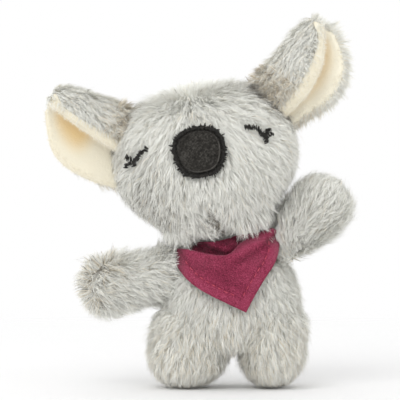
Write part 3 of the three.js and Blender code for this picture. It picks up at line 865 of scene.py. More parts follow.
def feltFinish():
    # short crossing fibres: two stretched noises turned apart and a slow one that mottles them;
    # the map's x is above 0 along the worn ridge
    look = Finish("charcoal felt")

    def grain(turn):
        # a fine noise drawn out along a line that is turned about the toy's depth
        sockets = {"Vector": look.place(), "Rotation": (0, turn, 0), "Scale": feltLook["stretch"]}
        return look.noise(2100, 3, look.node("ShaderNodeMapping", {"vector_type": "TEXTURE"}, sockets))

    weave = grain(feltLook["turns"][0]) * 0.55 + grain(feltLook["turns"][1]) * 0.45
    color = look.ramp(weave + look.noise(300, 1) * 0.2 - 0.1, *feltLook["fibres"])
    patches = (look.noise(700, 2) * 2.4 - 0.6).most(0.0)
    color = look.blend(color, feltLook["worn"], look.uvParts()[0] * patches)
    return look.wear(color=color, rough=0.95, sheen=0.05, gloss=0.1, normal=look.bump(weave, 0.0003, 0.9))


def threadFinish(name, dark, light):
    # a fine noise between two shades
    look = Finish(name)
    fine = look.noise(1500, 2)
    return look.wear(color=look.ramp(fine, (0.35, dark), (0.7, light)), rough=0.55, gloss=0.25,
                     normal=look.bump(fine, 0.0001, 0.5))


feltMaterial = feltFinish()
blackThread = threadFinish("black thread", srgb(9, 8, 7), srgb(44, 42, 38))


def noseFelt():
    # rings of the outline from the middle outwards; lift is a low dome with a sewn ridge near the rim
    shares = np.concatenate([np.linspace(0.04, 0.7, 14), np.linspace(0.71, 0.93, 14)])
    flat = (noseRing - noseMiddle)[::2][None] * shares[:, None, None] + noseMiddle
    x, z = flat[..., 0], flat[..., 1]
    corner = (x - nose["x"]) / 9 - (z - nose["z"]) / 9  # grows towards the low corner on the toy's left
    fromRidge = shares - nose["ridge"]
    height, more = nose["ridgeHeight"]
    ridge = bell(fromRidge, nose["ridgeWidth"])[:, None] * (height + more * ease(-0.2, 0.5, corner))
    groove = -nose["grooveDepth"] * bell(fromRidge - nose["groove"], nose["grooveWidth"])[:, None]
    front = onFace(x, z, nose["lift"] + nose["dome"] * (1 - shares[:, None] ** 2) + ridge + groove)
    back = onFace(x[-1], z[-1], np.full(x[-1].shape, nose["lift"] - nose["backing"]))
    behind = onFace(noseMiddle[:1], noseMiddle[1:], np.array([nose["lift"] - 0.1]))
    rings = np.concatenate([front, back[None]])
    count, sides = rings.shape[:2]
    worn = bell(fromRidge, nose["wornWidth"])[:, None] * ease(-0.2, 0.9, corner) * nose["worn"]
    uv = np.zeros((count * sides + 2, 2))
    uv[:worn.size, 0] = worn.ravel()
    points = np.concatenate([rings.reshape(-1, 3), front[0].mean(0)[None], behind])
    return points, ringFaces(sides, count), uv


def outwardFaces(points, faces):
    # turned over if the body's volume, a sixth of the sum of each face's triple product, is negative
    a, b, c = points[faces[:, 0]], points[faces[:, 1]], points[faces[:, 2]]
    return faces if (np.cross(a, b) * c).sum() > 0 else faces[:, ::-1]


def satin(starts, ends, lift, girth):
    # stitches side by side: each dives under the cloth at both ends and bows over between them
    steps = 7
    u = np.linspace(0, 1, steps)
    flat = starts[:, None] + (ends - starts)[:, None] * u[:, None]
    x, z = flat[..., 0], flat[..., 1]
    bow = lift + girth * 1.2 * np.sqrt(np.clip(4 * u * (1 - u), 0, 1)) - 0.5 * (np.abs(u - 0.5) * 2) ** 6
    paths = onFace(x, z, bow + 0 * x)
    girths = np.tile(girth * np.array([0, 0.8, 1, 1, 1, 0.8, 0]), (len(starts), 1))
    girths = girths * dice.uniform(0.85, 1.15, (len(starts), 1))
    points, faces = tubes(paths, girths, faceNormal(x[:, steps // 2], z[:, steps // 2]), 6, 0.75)
    return points, outwardFaces(points, faces)


points, faces, uv = noseFelt()
felt = meshPiece("nose_felt", points, outwardFaces(points, faces), feltMaterial, uv)
fit(felt, "head", "charcoal_felt", "nose_patch")

ring = evenly(nose["outline"], nose["stitches"], closed=True)
outer = ring * (0.965 + np.abs(dice.normal(size=(len(ring), 1))) * 0.06)
inner = ring * (nose["border"] + dice.normal(size=(len(ring), 1)) * 0.025)
slant = np.roll(inner, 1, axis=0)  # each stitch starts beside the next one's inner end
points, faces = satin(slant * noseSize + noseMiddle, outer * noseSize + noseMiddle, nose["lift"] + 0.35,
                      nose["stitchGirth"])
fit(meshPiece("nose_stitches", points, faces, blackThread), "head", "black_thread", "nose_border")

for side in ("right", "left"):
    starts, ends = [], []
    for line in eyes[side]:
        spots = evenly(line, max(int(runAlong(evenly(line, 200))[-1] / eyes["pitch"]), 4))
        along, aside = unit(np.gradient(spots, axis=0)), leftOf(spots)
        half = eyes["width"] / 2 * dice.uniform(0.55, 1.35, (2, len(spots), 1))
        slant = dice.normal(size=(len(spots), 1)) * 0.14 + 0.2
        starts.append(spots + aside * half[0] - along * slant)
        ends.append(spots - aside * half[1] + along * slant)
    points, faces = satin(np.concatenate(starts), np.concatenate(ends), eyes["lift"], eyes["girth"])
    fit(meshPiece(f"{side}_eye_stitches", points, faces, blackThread), "head", "black_thread", f"{side}_eye")
print("face done")


# ears

ears = dict(
    length=30, depth=8.5, backY=1.5, lift=31.6, pileThickness=1.0, liningThickness=1.2,
    # along the ear, its fold, front rim and outer rim, and how deep its hollow is
    front=[[1, 0.9], [0.5, 0.95], [0, 0.5]], behind=[[0.06, -0.02], [0.38, -0.14], [0.72, -0.1], [1, -0.02]],
    # the fleece's place across the ear and its height over the ear's surface, from the front rim on
    trail=[[0.085, 2.1], [0.045, 2.35], [0.0, 2.2], [-0.03, 1.4], [-0.03, 0.4], [0.0, -0.55], [0.06, -0.8],
           [0.14, -0.7], [0.25, -0.6], [0.4, -0.6], [0.55, -0.6], [0.7, -0.6], [0.82, -0.6], [0.92, -0.7],
           [0.985, -0.7], [1.02, -0.1], [1.01, 0.5]],
    # ochre is painted shade, a warm darkening where the fleece's fold is deep: across the ear, below its tip
    # and above its base, and how much; filling thickens the fold at the base; top is how far up the fleece
    # goes
    # the rolls' and the wall's tones are painted light: how pale the fleece's rolls and its wall are made on
    # each ear
    right=dict(side=-1, rootX=27.6, rootZ=12.3, lean=41.9, slant=0.5, filling=2.8, top=0.85, drawnIn=0,
               rollPaintedLight=0.04, wallPaintedLight=0.22, fringe=dict(density=11, reach=0.4, length=3, droop=1.1),
               ochrePaintedShade=dict(across=(0.94, 0.76), below=(0.8, 0.62), above=(0.26, 0.4), strength=1), rows=[
        [-0.3, 0.265, -0.04, -0.39, 0.8], [0, 0.29, -0.045, -0.495, 0.9], [0.2, 0.295, -0.06, -0.54, 1],
        [0.4, 0.255, -0.075, -0.55, 1], [0.58, 0.19, -0.085, -0.51, 0.95], [0.73, 0.15, -0.085, -0.4, 0.8],
        [0.86, 0.095, -0.095, -0.27, 0.65], [0.945, 0.05, -0.1, -0.17, 0.5],
        [0.985, 0.03, -0.085, -0.1, 0.4]]),
    left=dict(side=1, rootX=30, rootZ=15, lean=37.5, slant=0.3, filling=0, top=0.87, drawnIn=0.045,
              rollPaintedLight=0.2, wallPaintedLight=0.95, fringe=dict(density=52, reach=1, length=4.2, droop=0.25),
              ochrePaintedShade=dict(across=(0.92, 0.77), below=(0.85, 0.62), above=(-0.1, 0.05), strength=0.75), rows=[
        [-0.3, 0.28, 0.03, -0.14, 0.7], [0, 0.32, -0.07, -0.29, 0.85], [0.2, 0.315, -0.125, -0.42, 1],
        [0.4, 0.275, -0.145, -0.48, 1], [0.6, 0.22, -0.13, -0.455, 0.9], [0.76, 0.18, -0.08, -0.365, 0.75],
        [0.88, 0.14, -0.03, -0.235, 0.55], [0.96, 0.11, 0.02, -0.13, 0.4], [1.0, 0.085, 0.035, -0.05, 0.3]]),
    fur=dict(density=12.5, perTuft=9, bent=3, tuftRadius=0.5, length=5, rise=1.6, width=0.21, clump=0.42,
             tuftTurn=9, strandTurn=9, free=True),
    nap=dict(density=10, perTuft=6, bent=0, tuftRadius=0.5, length=1.5, rise=1.1, width=0.15, clump=0.3,
             tuftTurn=60, strandTurn=60),
    curls=dict(density=9, length=4.6, rise=3.4, tuftTurn=55, strandTurn=25, clump=0.6),
    lap=dict(density=15, length=3.3, rise=2.2, clump=0.25, tuftTurn=16),
    tipFringe=dict(density=20, length=2.5, width=0.17, clump=0.2, stray=0),
    fuzz=dict(density=15, length=2.5, rise=1.1, width=0.18, clump=0.25))
# the fleece's pale ramp, and the warm ochre that is painted shade in the deep fold
fleeceLook = dict(pale=[(0.0, srgb(236, 229, 208)), (1.0, srgb(255, 250, 232))], ochrePaintedShade=srgb(240, 212, 160))


def fleeceFinish():
    # cream knit with a fine nap; ochre painted shade where the map's x says that the fold is deep, and paler
    # with the map's y, which carries painted light on the rolls and the wall
    look = Finish("cream fleece")
    deep, pale = look.uvParts()
    nap, clouds = look.noise(1400, 3), look.noise(160, 2)
    color = look.ramp(pale + clouds * 0.16 + nap * 0.16 - 0.16, *fleeceLook["pale"])
    color = look.blend(color, fleeceLook["ochrePaintedShade"], (deep * (0.75 + clouds * 0.4)).least(1.0))
    return look.wear(color=color, rough=0.95, sheen=0.3, gloss=0.15, normal=look.bump(nap, 0.0003, 0.7))


fleeceMaterial = fleeceFinish()


def earSurface(ear):
    # across the ear: front rim, round the fold, to the outer rim, a smooth curve through the seven points
    # that one row gives; along it: base to tip
    side, lean = ear["side"], math.radians(ear["lean"])

    def surf(s, t):
        share, fold, front, outer, depth = np.moveaxis(rowsAt(ear["rows"], t), -1, 0)
        ahead = [np.stack([fold + a * (front - fold), f * depth], -1) for a, f in ears["front"]]
        behind = [np.stack([fold + a * (outer - fold), f * depth], -1) for a, f in ears["behind"]]
        path = np.stack(ahead + behind, -2)
        final = path.shape[-2] - 1
        place = np.clip(s, 0, 1) * final
        j = np.minimum(place.astype(int), final - 1)
        steps = [np.clip(j + k, 0, final)[..., None, None] for k in (-1, 0, 1, 2)]
        near = [np.take_along_axis(path, step, -2)[..., 0, :] for step in steps]
        # straight on beyond both rims
        beyond = (s - np.clip(s, 0, 1))[..., None]
        first, last = path[..., 1, :] - path[..., 0, :], path[..., -1, :] - path[..., -2, :]
        cross = cubic(*near, (place - j)[..., None]) + beyond * np.where(beyond < 0, first, last) * final
        across, forward = cross[..., 0] * ears["length"], cross[..., 1] * ears["depth"]
        run = share * ears["length"]
        return headPlace(side * (ear["rootX"] + run * math.sin(lean) - across * math.cos(lean)),
                         ears["backY"] - forward,
                         ears["lift"] + ear["rootZ"] + run * math.cos(lean) + across * math.sin(lean))

    return surf


def offsetSurface(surf, outward, distance):
    # each point moved along its normal
    def moved(s, t):
        point, normal, _, _ = tangents(surf, s, t)
        return point + normal * outward * distance
    return moved


def flipped(surf):
    # the same surface run the other way across, so that its normal points the other way
    return lambda s, t: surf(1 - s, t)


def earBacking(name, surf, flip):
    # the outer cloth, a sheet over the ear's surface
    s, t = np.meshgrid(np.linspace(0.02, 0.98, 44), np.linspace(0.0, 1, 40))
    grid = surf(s, t) + tangents(surf, s, t)[1] * flip * (0.3 + ears["pileThickness"] / 2)
    points, faces = slab(grid, ears["pileThickness"])
    back = meshPiece(f"{name}_ear_backing", points, faces, backingMaterial, np.zeros((len(points), 2)))
    fit(back, f"{name}_ear", "fur_plush", f"{name}_ear_back")
    declareCloth(back, grid)


def earLining(name, surf, flip):
    # the fleece comes from behind the front rim, rolls over it, lines the hollow and rolls at the outer rim;
    # at the base it is thick enough to meet the front roll
    ear, top = ears[name], ears[name]["top"]
    w, t = np.meshgrid(np.linspace(0, 1, 70), np.linspace(0.0, top, 46))
    a, off = np.moveaxis(rowsAt(ears["trail"], w), -1, 0)
    # the front roll stays as wide up to the tip
    a = a + np.maximum(a, 0) * 1.6 * ease(0.6, 0.92, t) * (w < 0.2)
    a = a - ear["drawnIn"] * ease(0.7, 1, a)
    fade = ease(top + 0.04, top - 0.12, t)
    base, normal, _, _ = tangents(surf, a, t)
    depth = off - ear["filling"] * ease(0.45, 0.15, t) * bell(a - 0.45, 0.28) * (off < 0)
    height = depth * (0.55 + 0.45 * fade) + 0.18 * blobs(base, 7, 8) * fade
    grid = base + normal * flip * height[..., None]
    points, faces = slab(grid, ears["liningThickness"], 3, 0.45)
    # painted shade: ochre where the fold is deep, inside the hollow
    ochrePaintedShade = ear["ochrePaintedShade"]
    hollow = ease(*ochrePaintedShade["across"], a) * ease(*ochrePaintedShade["below"], t) * ease(*ochrePaintedShade["above"], t)
    hollow = hollow * ochrePaintedShade["strength"] * (off < 0) * (a > 0.2)
    # painted light: the rolls and the wall made darker or paler, ear by ear
    pale = ear["rollPaintedLight"] + (ear["wallPaintedLight"] - ear["rollPaintedLight"]) * ease(0.15, 0.5, a)
    uv = np.stack([np.tile(hollow.ravel(), 2), np.tile(pale.ravel(), 2)], 1)
    lining = meshPiece(f"{name}_ear_lining_cloth", points, faces, fleeceMaterial, uv)
    fit(lining, f"{name}_ear", "cream_fleece", f"{name}_ear_lining")
    declareCloth(lining, grid)
    earNap(name, grid)


def anyWay(points, normal):
    # a bell-curve draw in each direction
    return dice.normal(size=points.shape)


def napTone(points, normal):
    # pale and warm
    return 0.3, 1.0


def earNap(name, grid):
    # a short nap that softens the edges of both rolls, on the side of the fleece that is seen
    normal, central = gridNormals(grid), (23, 53)
    visible = 1 if normal[central][1] < 0 else -1
    face = grid + normal * visible * ears["liningThickness"] * 0.4
    runsAlong = tangents(gridSurface(face), np.array(0.75), np.array(0.5))[1] @ normal[central] * visible > 0
    napped = gridSurface(face if runsAlong else face[:, ::-1])
    for label, first, last, start in (("front", 0.04, 0.3, 0.03), ("outer", 0.86, 0.97, 0.03),
                                      ("tip", 0.3, 0.86, 0.95)):
        if not runsAlong:
            first, last = 1 - last, 1 - first
        growFur(f"{name}_ear_{label}_nap", f"{name}_ear", napped, ears["nap"], anyWay, napTone,
                low=(first, start), high=(last, 0.97))


def earPile(name, surf, flip):
    # the pile of the outer side, its rims and the inner side, combed from the tip to the base
    ear = ears[name]
    tip, base = surf(np.array(0.4), np.array(0.98)), surf(np.array(0.3), np.array(0.12))
    toBase, span = unit(base - tip), np.linalg.norm(base - tip)
    toRim = unit(surf(np.array(0.02), np.array(0.5)) - surf(np.array(0.3), np.array(0.5)))
    middle = surf(np.array(0.55), np.array(0.45))

    def flow(points, normal):
        # to the base and a little to the front rim, with a slow sideways wander
        wander = blobs(points, 8, 11)[..., None] * 0.25 * np.cross(normal, toBase)
        return toBase + toRim * ear["slant"] + wander

    def tone(points, normal):
        # warmer towards the base, and darker there with painted shade, where the ear meets the head
        share = np.clip(((points - tip) @ toBase) / span, 0, 1.2)
        return 0.08 * blobs(points, 6, 12) - 0.12 * ease(0.6, 1.0, share), 0.1 + 0.4 * ease(0.45, 0.95, share)

    def curlTone(points, normal):
        # dark and blotched, mostly warm
        return -0.34 + 0.3 * blobs(points, 3, 14), 0.75

    def lapFlow(points, normal):
        # over the front rim, half as much down
        return toRim + toBase * 0.5

    def rimFlow(points, normal):
        # away from the ear's middle, and down by the droop
        return unit(points - middle) + toBase * ear["fringe"]["droop"]

    def rimTone(points, normal):
        # a touch paler than the rest
        shade, warm = tone(points, normal)
        return shade + 0.03, warm

    outer, inner = offsetSurface(surf, flip, 0.3 + ears["pileThickness"]), offsetSurface(surf, -flip, 0.1)
    outward, inward = (flipped(outer), inner) if flip < 0 else (outer, flipped(inner))

    def grow(label, side, fur, way, shade, across, along):
        # across is counted from the front rim, on a surface that may run the other way
        turned = (side is outward) == (flip < 0)
        first, last = (1 - across[1], 1 - across[0]) if turned else across
        growFur(f"{name}_ear_{label}", f"{name}_ear", side, fur, way, shade,
                low=(first, along[0]), high=(last, along[1]))

    grow("fur", outward, ears["fur"], flow, tone, (0.1, 0.985), (0.02, 0.985))
    # crumpled beige tufts where the ear leaves the head
    grow("curls", outward, dict(ears["fur"], **ears["curls"]), flow, curlTone, (0.11, 0.5), (0.1, 0.3))
    # strands that lap over the front roll's edge
    grow("lap", outward, dict(ears["fur"], **ears["lap"]), lapFlow, tone, (0.09, 0.17), (0.08, 0.93))
    # fringes that look past the outer rim and the tip
    fringe = ear["fringe"]
    rimFur = dict(ears["fur"], density=fringe["density"], length=fringe["length"], rise=0.9, tuftTurn=14)
    grow("fringe", outward, rimFur, rimFlow, rimTone, (0.93, 0.99), (0.05, 0.97 * fringe["reach"]))
    tipFur = dict(rimFur, **ears["tipFringe"])
    grow("tip_fringe", outward, tipFur, rimFlow, rimTone, (0.02, 0.97), (0.88, 0.99))
    # fuzz on the inner side, above the fleece and round its outer edge
    fuzz = dict(rimFur, **ears["fuzz"])
    grow("tip_fuzz", inward, fuzz, rimFlow, rimTone, (0.03, 0.97), (ear["top"] - 0.03, 0.985))
    if ear["drawnIn"]:
        grow("rim_fuzz", inward, fuzz, rimFlow, rimTone, (0.93, 0.985), (0.04, ear["top"]))


for name in ("right", "left"):
    surf = earSurface(ears[name])
    ahead = tangents(surf, np.array(0.1), np.array(0.5))[1] @ np.array([0, -1.0, 0])
    flip = -1 if ahead < 0 else 1  # 1 if the surface's normal is on the ear's outer side
    earBacking(name, surf, flip)
    earLining(name, surf, flip)
    earPile(name, surf, flip)
print("ears done")


# body

torsoX = neckPoint[0] + 1.4
body = dict(
    squareness=2.2, fill=0.8,
    # height, centre, half width and half depth of the cloth, from the lap up to the neck
    torso=[[13.5, -0.3, 0, 0], [14, -0.3, 9, 5], [16.5, -0.2, 16.4, 9.5], [20, 0.3, 20.1, 12.3],
           [24, 0.4, 21.5, 13.8], [29, 0.3, 21.4, 14.5], [34, 0.1, 21.1, 14.6], [39, 0, 19.7, 14.2],
           [43, -0.5, 17, 12.6], [45.5, -1, 12.5, 10.2], [47, -1.4, 7.5, 6.5], [47.6, -1.4, 0, 0]],
    rightLeg=[[2, -4.4, 0, 0], [2.1, -4.4, 4.4, 5.6], [3.2, -4.8, 7.4, 8.2], [6, -4.5, 10, 10.8],
              [10, -4, 11.5, 12.5], [15, -3.6, 11.9, 13.2], [20, -3.1, 11.2, 12.8], [25, -3, 10.2, 10.8],
              [29, -3.75, 8.5, 7], [31.2, -3.75, 4.5, 3.5], [32, -3.75, 0, 0]],
    leftLeg=[[2, 24.6, 0, 0], [2.1, 24.4, 3.6, 5.2], [3.2, 24.4, 5.6, 7.9], [6, 24.6, 7.6, 10.5],
             [10, 24.8, 8.9, 12.4], [15, 24.8, 9.5, 13.1], [20, 24.85, 9.5, 12.8], [25, 25, 8.9, 10.8],
             [29, 25, 6.8, 7], [31.2, 25, 3.6, 3.5], [32, 25, 0, 0]],
    # distance from the shoulder, offset across, and half widths
    rightArm=[[-8.5, -1.4, 0, 0], [-7, -1.7, 5.4, 5], [-2, -3.3, 6.9, 6.8], [6, -2.9, 7.6, 7],
              [12, -2, 8.1, 7.5], [17, -1.7, 8.6, 7.8], [21, -2.3, 8, 7.4], [23.4, -2.4, 6.4, 5.8],
              [24.7, -2.3, 3.9, 3.6], [25.1, -2.3, 0, 0]],
    leftArm=[[-5, -1.6, 0, 0], [-4, -2.2, 4.2, 4.2], [0, -3.2, 5.5, 5.8], [6, -2.9, 6.8, 6.9],
             [12, -2.2, 8.3, 7.6], [17.5, -1.7, 9, 7.9], [21.5, -1.6, 8.5, 7.5], [24.4, -1.7, 6.7, 5.6],
             [25.9, -1.8, 3.8, 3.1], [26.3, -1.8, 0, 0]],
    fur=dict(plainFur, length=5.6, rise=2.65), armFur=dict(plainFur, length=6, rise=2.75, tuftTurn=13),
    pawTufts=dict(density=4.5, length=6.6, rise=3.9, tuftTurn=36, clump=0.78, tuftRadius=0.8))

upright = (1, 0, 0), (0, 0, 1)
torsoSurface = ringForm(body["torso"], body["squareness"], np.array([torsoX, neckPoint[1], 0]), *upright)
skinPiece("torso_backing", "torso", torsoSurface, ["torso_skin", "torso_filling"], 80, 40)


def bodyFlow(points, normal):
    # down, and a little out from the middle
    way = np.zeros(points.shape)
    way[..., 2] = -1
    way[..., 0] = 0.012 * (points[..., 0] - torsoX) + 0.16 * blobs(points, 12, 31)
    return way


def bodyTone(points, normal):
    # warmer towards the feet
    low = ease(34, 10, points[..., 2])
    return 0.1 * blobs(points, 8, 33), 0.05 + 0.22 * low


def torsoPress(points):
    # lies flat under the neckerchief
    x, y, z = np.moveaxis(points, -1, 0)
    under = (y < 0) * ease(24, 30, z - 0.45 * np.abs(x - 14))
    return 1 - 0.45 * under


def torsoKeep(points):
    # none low between the legs, where nothing shows, nor inside the neckerchief
    x, y, z = np.moveaxis(points, -1, 0)
    return (z > 15.5) & ~((z > 43.5 - 2 * (y < 0)) & (np.hypot(x - 8.8, (y - neckPoint[1]) * 1.1) < 17))


growFur("torso_fur", "torso", torsoSurface, body["fur"], bodyFlow, bodyTone, torsoKeep, torsoPress)


def soleLift(points):
    # shorter towards the sole
    return 0.55 + 0.45 * ease(4, 13, points[..., 2])


def legKeep(points):
    # none above, inside the torso
    return points[..., 2] < 27


soleFur = dict(body["fur"], lift=soleLift)
for name, rows in (("right", body["rightLeg"]), ("left", body["leftLeg"])):
    surf = ringForm(rows, body["squareness"], np.array([0, neckPoint[1], 0]), *upright)
    nodes = [f"{name}_leg_skin", f"{name}_leg_filling"]
    skinPiece(f"{name}_leg_backing", f"{name}_leg", surf, nodes, 64, 36)
    growFur(f"{name}_leg_fur", f"{name}_leg", surf, soleFur, bodyFlow, bodyTone, legKeep)


def buildArm(name, rows):
    # a tapered form along the arm, from its shoulder to its paw
    joint = joints[f"{name}_arm_swing"]
    turn = np.array(joint["axis"])
    along = unit(np.cross(turn, [0, 1.0, 0]))  # the swing's axis is square to the arm and to the toy's depth
    if along[0] * (-1 if name == "right" else 1) < 0:
        along = -along
    across = np.cross([0, 1.0, 0], along)
    start = pivot(f"{name}_arm_swing")
    surf = ringForm(rows, 2.05, start, across, along)
    # the right arm's pile runs away from a seam over the paw, the left arm's fans out from the shoulder
    if name == "right":
        first = start + along * 18 + across * 5.8 + [0, -5, 0]
        last = start + along * 22.6 - across * 1.4 + [0, -5, 0]
    else:
        first, last = start - along * 2, start - along * 1.9
    seam, reach = last - first, 5.5

    def fromSeam(points):
        # from the nearest point of the segment: its share is the projection, cut to 0 and 1
        share = np.clip((points - first) @ seam / (seam @ seam), 0, 1)
        return points - first - share[..., None] * seam

    def flow(points, normal):
        # away from the seam, with a slow sideways wander
        away = unit(fromSeam(points))
        return away + 0.28 * blobs(points, 8, 41)[..., None] * np.cross(normal, away)

    def nearness(points, wide):
        # 1 on the seam, and less with the square of the distance
        return bell(np.linalg.norm(fromSeam(points), axis=-1), wide)

    def seamPaintedShade(points):
        # painted shade round the seam, on the right paw only
        return nearness(points, 2.6) * (name == "right")

    nodes = [f"{name}_arm_skin", f"{name}_arm_filling"]
    skinPiece(f"{name}_arm_backing", f"{name}_arm", surf, nodes, 56, 36, seamPaintedShade)

    def tone(points, normal):
        # mottled, warmer near the seam and darker there with painted shade, and darkest with painted shadow
        # in the right paw's gap
        near = nearness(points, reach)
        gapPaintedShadow = nearness(points, 2.4) * (0.8 + 0.4 * blobs(points, 2.5, 44)) * (name == "right")
        return 0.1 * blobs(points, 7, 43) - 0.05 - 0.34 * near - 0.5 * gapPaintedShadow, 0.05 + 0.3 * near

    def armKeep(points):
        # none over the neckerchief's edge
        return ~((points[..., 0] > 15) & (points[..., 0] < 27.4) & (points[..., 1] < -2))

    def pawLift(points):
        # higher round the seam and towards the torso
        return 1 + 0.45 * nearness(points, 5) + 0.5 * ease(-19, -13, points[..., 0])

    def pawTone(points, normal):
        # dark and blotched
        return 0.3 * blobs(points, 3, 45) - 0.3, 0.35

    def pawKeep(points):
        # close to the seam, within about 5 mm
        return nearness(points, 4) > 0.25

    fur = dict(body["armFur"], lift=pawLift) if name == "right" else body["armFur"]
    growFur(f"{name}_arm_fur", f"{name}_arm", surf, fur, flow, tone, armKeep)
    if name == "right":  # tufts that stand out beyond the seam
        tufts = dict(body["armFur"], **body["pawTufts"])
        growFur("right_paw_tufts", "right_arm", surf, tufts, flow, pawTone, pawKeep)


buildArm("right", body["rightArm"])
buildArm("left", body["leftArm"])
print("body done")


# bandana

bandana = dict(
    thickness=0.45, stitchLength=1.75, stitchGap=0.6, stitchGirth=0.15, hem=3.5, tipAt=0.6,
    # the chest under it, a superellipse: at each height its half width, and its depth
    chestMiddle=9.2, chestSquareness=2.3, chestWidth=[[26, 25], [40, 20.5], [46, 18.6], [54, 18.4]],
    chestDepth=[[26, 18.2], [30, 18.7], [37, 18.8], [42, 17.6], [46, 15.4], [50, 13.6]],
    # a point of the soft fold that runs up to the toy's left, and the direction square to it
    ridgeFrom=(11.6, 46), ridgeAway=(0.51, 0.86),
    # how far below and behind the fold the cloth's hidden rows lie
    turnedBack=[[3.4, 3.6], [2.3, 2.7], [1.3, 1.9], [0.5, 1.3], [-0.05, 0.75], [-0.2, 0.3]],
    # how far the band round the neck stands out, and how high it is, from its top to its lower edge
    band=[[0.0, 8.4], [0.1, 6.6], [0.4, 4.6], [1.0, 2.6], [1.9, 0.8], [2.9, -1.0], [3.9, -2.8], [4.6, -4.4]],
    bandMiddle=8.8, bandWidth=12.4, bandDepth=10.6, bandHeight=45.2, bandSlope=0.19,
    fold=[[-7.8, 47.9], [-4.3, 47.9], [0, 47.0], [5.1, 46.2], [8.8, 46.2], [11.2, 47.4], [12.8, 49.3],
          [14.5, 50.5], [16.9, 51.9], [19.6, 53.3], [22.3, 54.3], [24.8, 54.9], [26.4, 53.8]],
    lowLeft=[[-8.6, 44.2], [-7.2, 41.5], [-4.3, 38.2], [-0.7, 35.4], [4.1, 32.7], [9.7, 30], [15.6, 27.2]],
    lowRight=[[15.6, 27.2], [18.9, 33.5], [22.6, 39.4], [24.5, 42.1], [26, 45], [26.9, 48.3], [27, 51],
              [26.6, 52.8]])

clothLook = dict(stops=[(0.0, srgb(66, 14, 30)), (0.3, srgb(110, 32, 55)), (0.5, srgb(138, 44, 72)),
                        (0.75, srgb(168, 66, 96)), (1.0, srgb(190, 92, 120))], threads=11000)


def clothFinish():
    # plain weave: warp and weft as sine waves on the object's x and z, with slubs and slow mottling; the
    # map's x carries painted light and shade of the folds and the hem
    look = Finish("burgundy cotton")
    x, _, z = look.parts(look.place())
    tone = look.uvParts()[0]
    wobble = look.noise(220, 1) * 1.5
    a, b = x * 0.8 + z * 0.6, z * 0.8 - x * 0.6
    warp, weft = [(place * clothLook["threads"] + wobble).sine() for place in (a, b)]
    weave = warp * weft
    slub = look.noise(3400, 2)
    color = look.ramp(tone + slub * 1.7 + weave * 0.1 + look.noise(90, 1) * 0.16 - 0.93, *clothLook["stops"])
    relief = look.bump(weave * 0.5 + slub, 0.0002, 0.8)
    return look.wear(color=color, rough=0.85, sheen=0.15, gloss=0.15, normal=relief)


clothMaterial = clothFinish()
stitchMaterial = threadFinish("burgundy thread", srgb(172, 56, 80), srgb(212, 94, 112))


def chestDepth(x, z):
    # how far the cloth lies in front of the neck's middle: a superellipse round the chest, deeper downwards
    wide, deep = [np.interp(z, *np.transpose(bandana[key])) for key in ("chestWidth", "chestDepth")]
    across, power = np.minimum(np.abs(x - bandana["chestMiddle"]) / wide, 0.995), bandana["chestSquareness"]
    return deep * (1 - across ** power) ** (1 / power)


def hemDistance(x, z):
    # how far a point is from the two cut edges that meet at the tip
    edge = np.concatenate([evenly(bandana["lowLeft"], 60), evenly(bandana["lowRight"], 60)])
    return np.hypot(x[..., None] - edge[:, 0], z[..., None] - edge[:, 1]).min(-1)


def ridgePlace(x, z):
    # how far a point is above the soft fold, and 1 where that fold is
    (startX, startZ), (awayX, awayZ) = bandana["ridgeFrom"], bandana["ridgeAway"]
    return (z - startZ) * awayZ - (x - startX) * awayX, ease(9, 13, x) * ease(40, 45, z)


def clothDepth(x, z):
    # the chest's form, the soft fold with the cloth drawn in above it, shallow waves, and the hem's
    # double layer
    above, there = ridgePlace(x, z)
    ridge = (bell(above, 1.5) * 0.8 - 1.4 * ease(0.3, 3, above)) * there
    waves = np.sin((x * 0.62 - z * 0.5) * 0.62 + 0.4) * 0.45 + np.sin((x * 0.35 + z * 0.8) * 0.8) * 0.18
    away = hemDistance(x, z)
    fromSeam = away - bandana["hem"]
    double = 0.25 * ease(bandana["hem"] + 0.5, bandana["hem"] - 0.2, away)
    hem = double - 0.15 * bell(fromSeam, 0.4)
    corner = 1.8 * ease(-3.5, -8.6, x) - 3 * ease(20, 26.5, x) * ease(52, 48.5, z) + 3.2 * ease(49.5, 53, z)
    return chestDepth(x, z) + ridge + waves * ease(0.5, 4, away) + hem - corner


def clothToneAndPaintedShade(x, z):
    # 0.5 is plain; painted light makes the hem and the folds' crests paler, and painted shade makes the hem's
    # seam, its cut edge, the folds' hollows, the cloth above the soft fold and the left end darker; the rest
    # mottles at random
    above, there = ridgePlace(x, z)
    away = hemDistance(x, z)
    paintedCrestLight, paintedTroughShade = 0.13 * bell(above, 1), 0.2 * bell(above + 2.4, 1.3)
    foldPaintedLightAndShade = (paintedCrestLight - paintedTroughShade - 0.2 * ease(0.8, 2.6, above)) * there
    seam, cut = 0.1 * bell(away - 3.7, 0.5), 0.12 * bell(away, 0.5)
    hem = 0.06 * ease(3.4, 2.8, away) - seam - cut
    # painted shade: darker at the left end, and along a line under the fold
    under = -0.3 * ease(-4, -8.4, x) - 0.1 * bell((x + 1) * 0.4 + (z - 42.5) * 0.9, 1.6)
    return 0.53 + foldPaintedLightAndShade + hem + under + 0.06 * blobs(np.stack([x, 0 * x, z], -1), 9, 61)


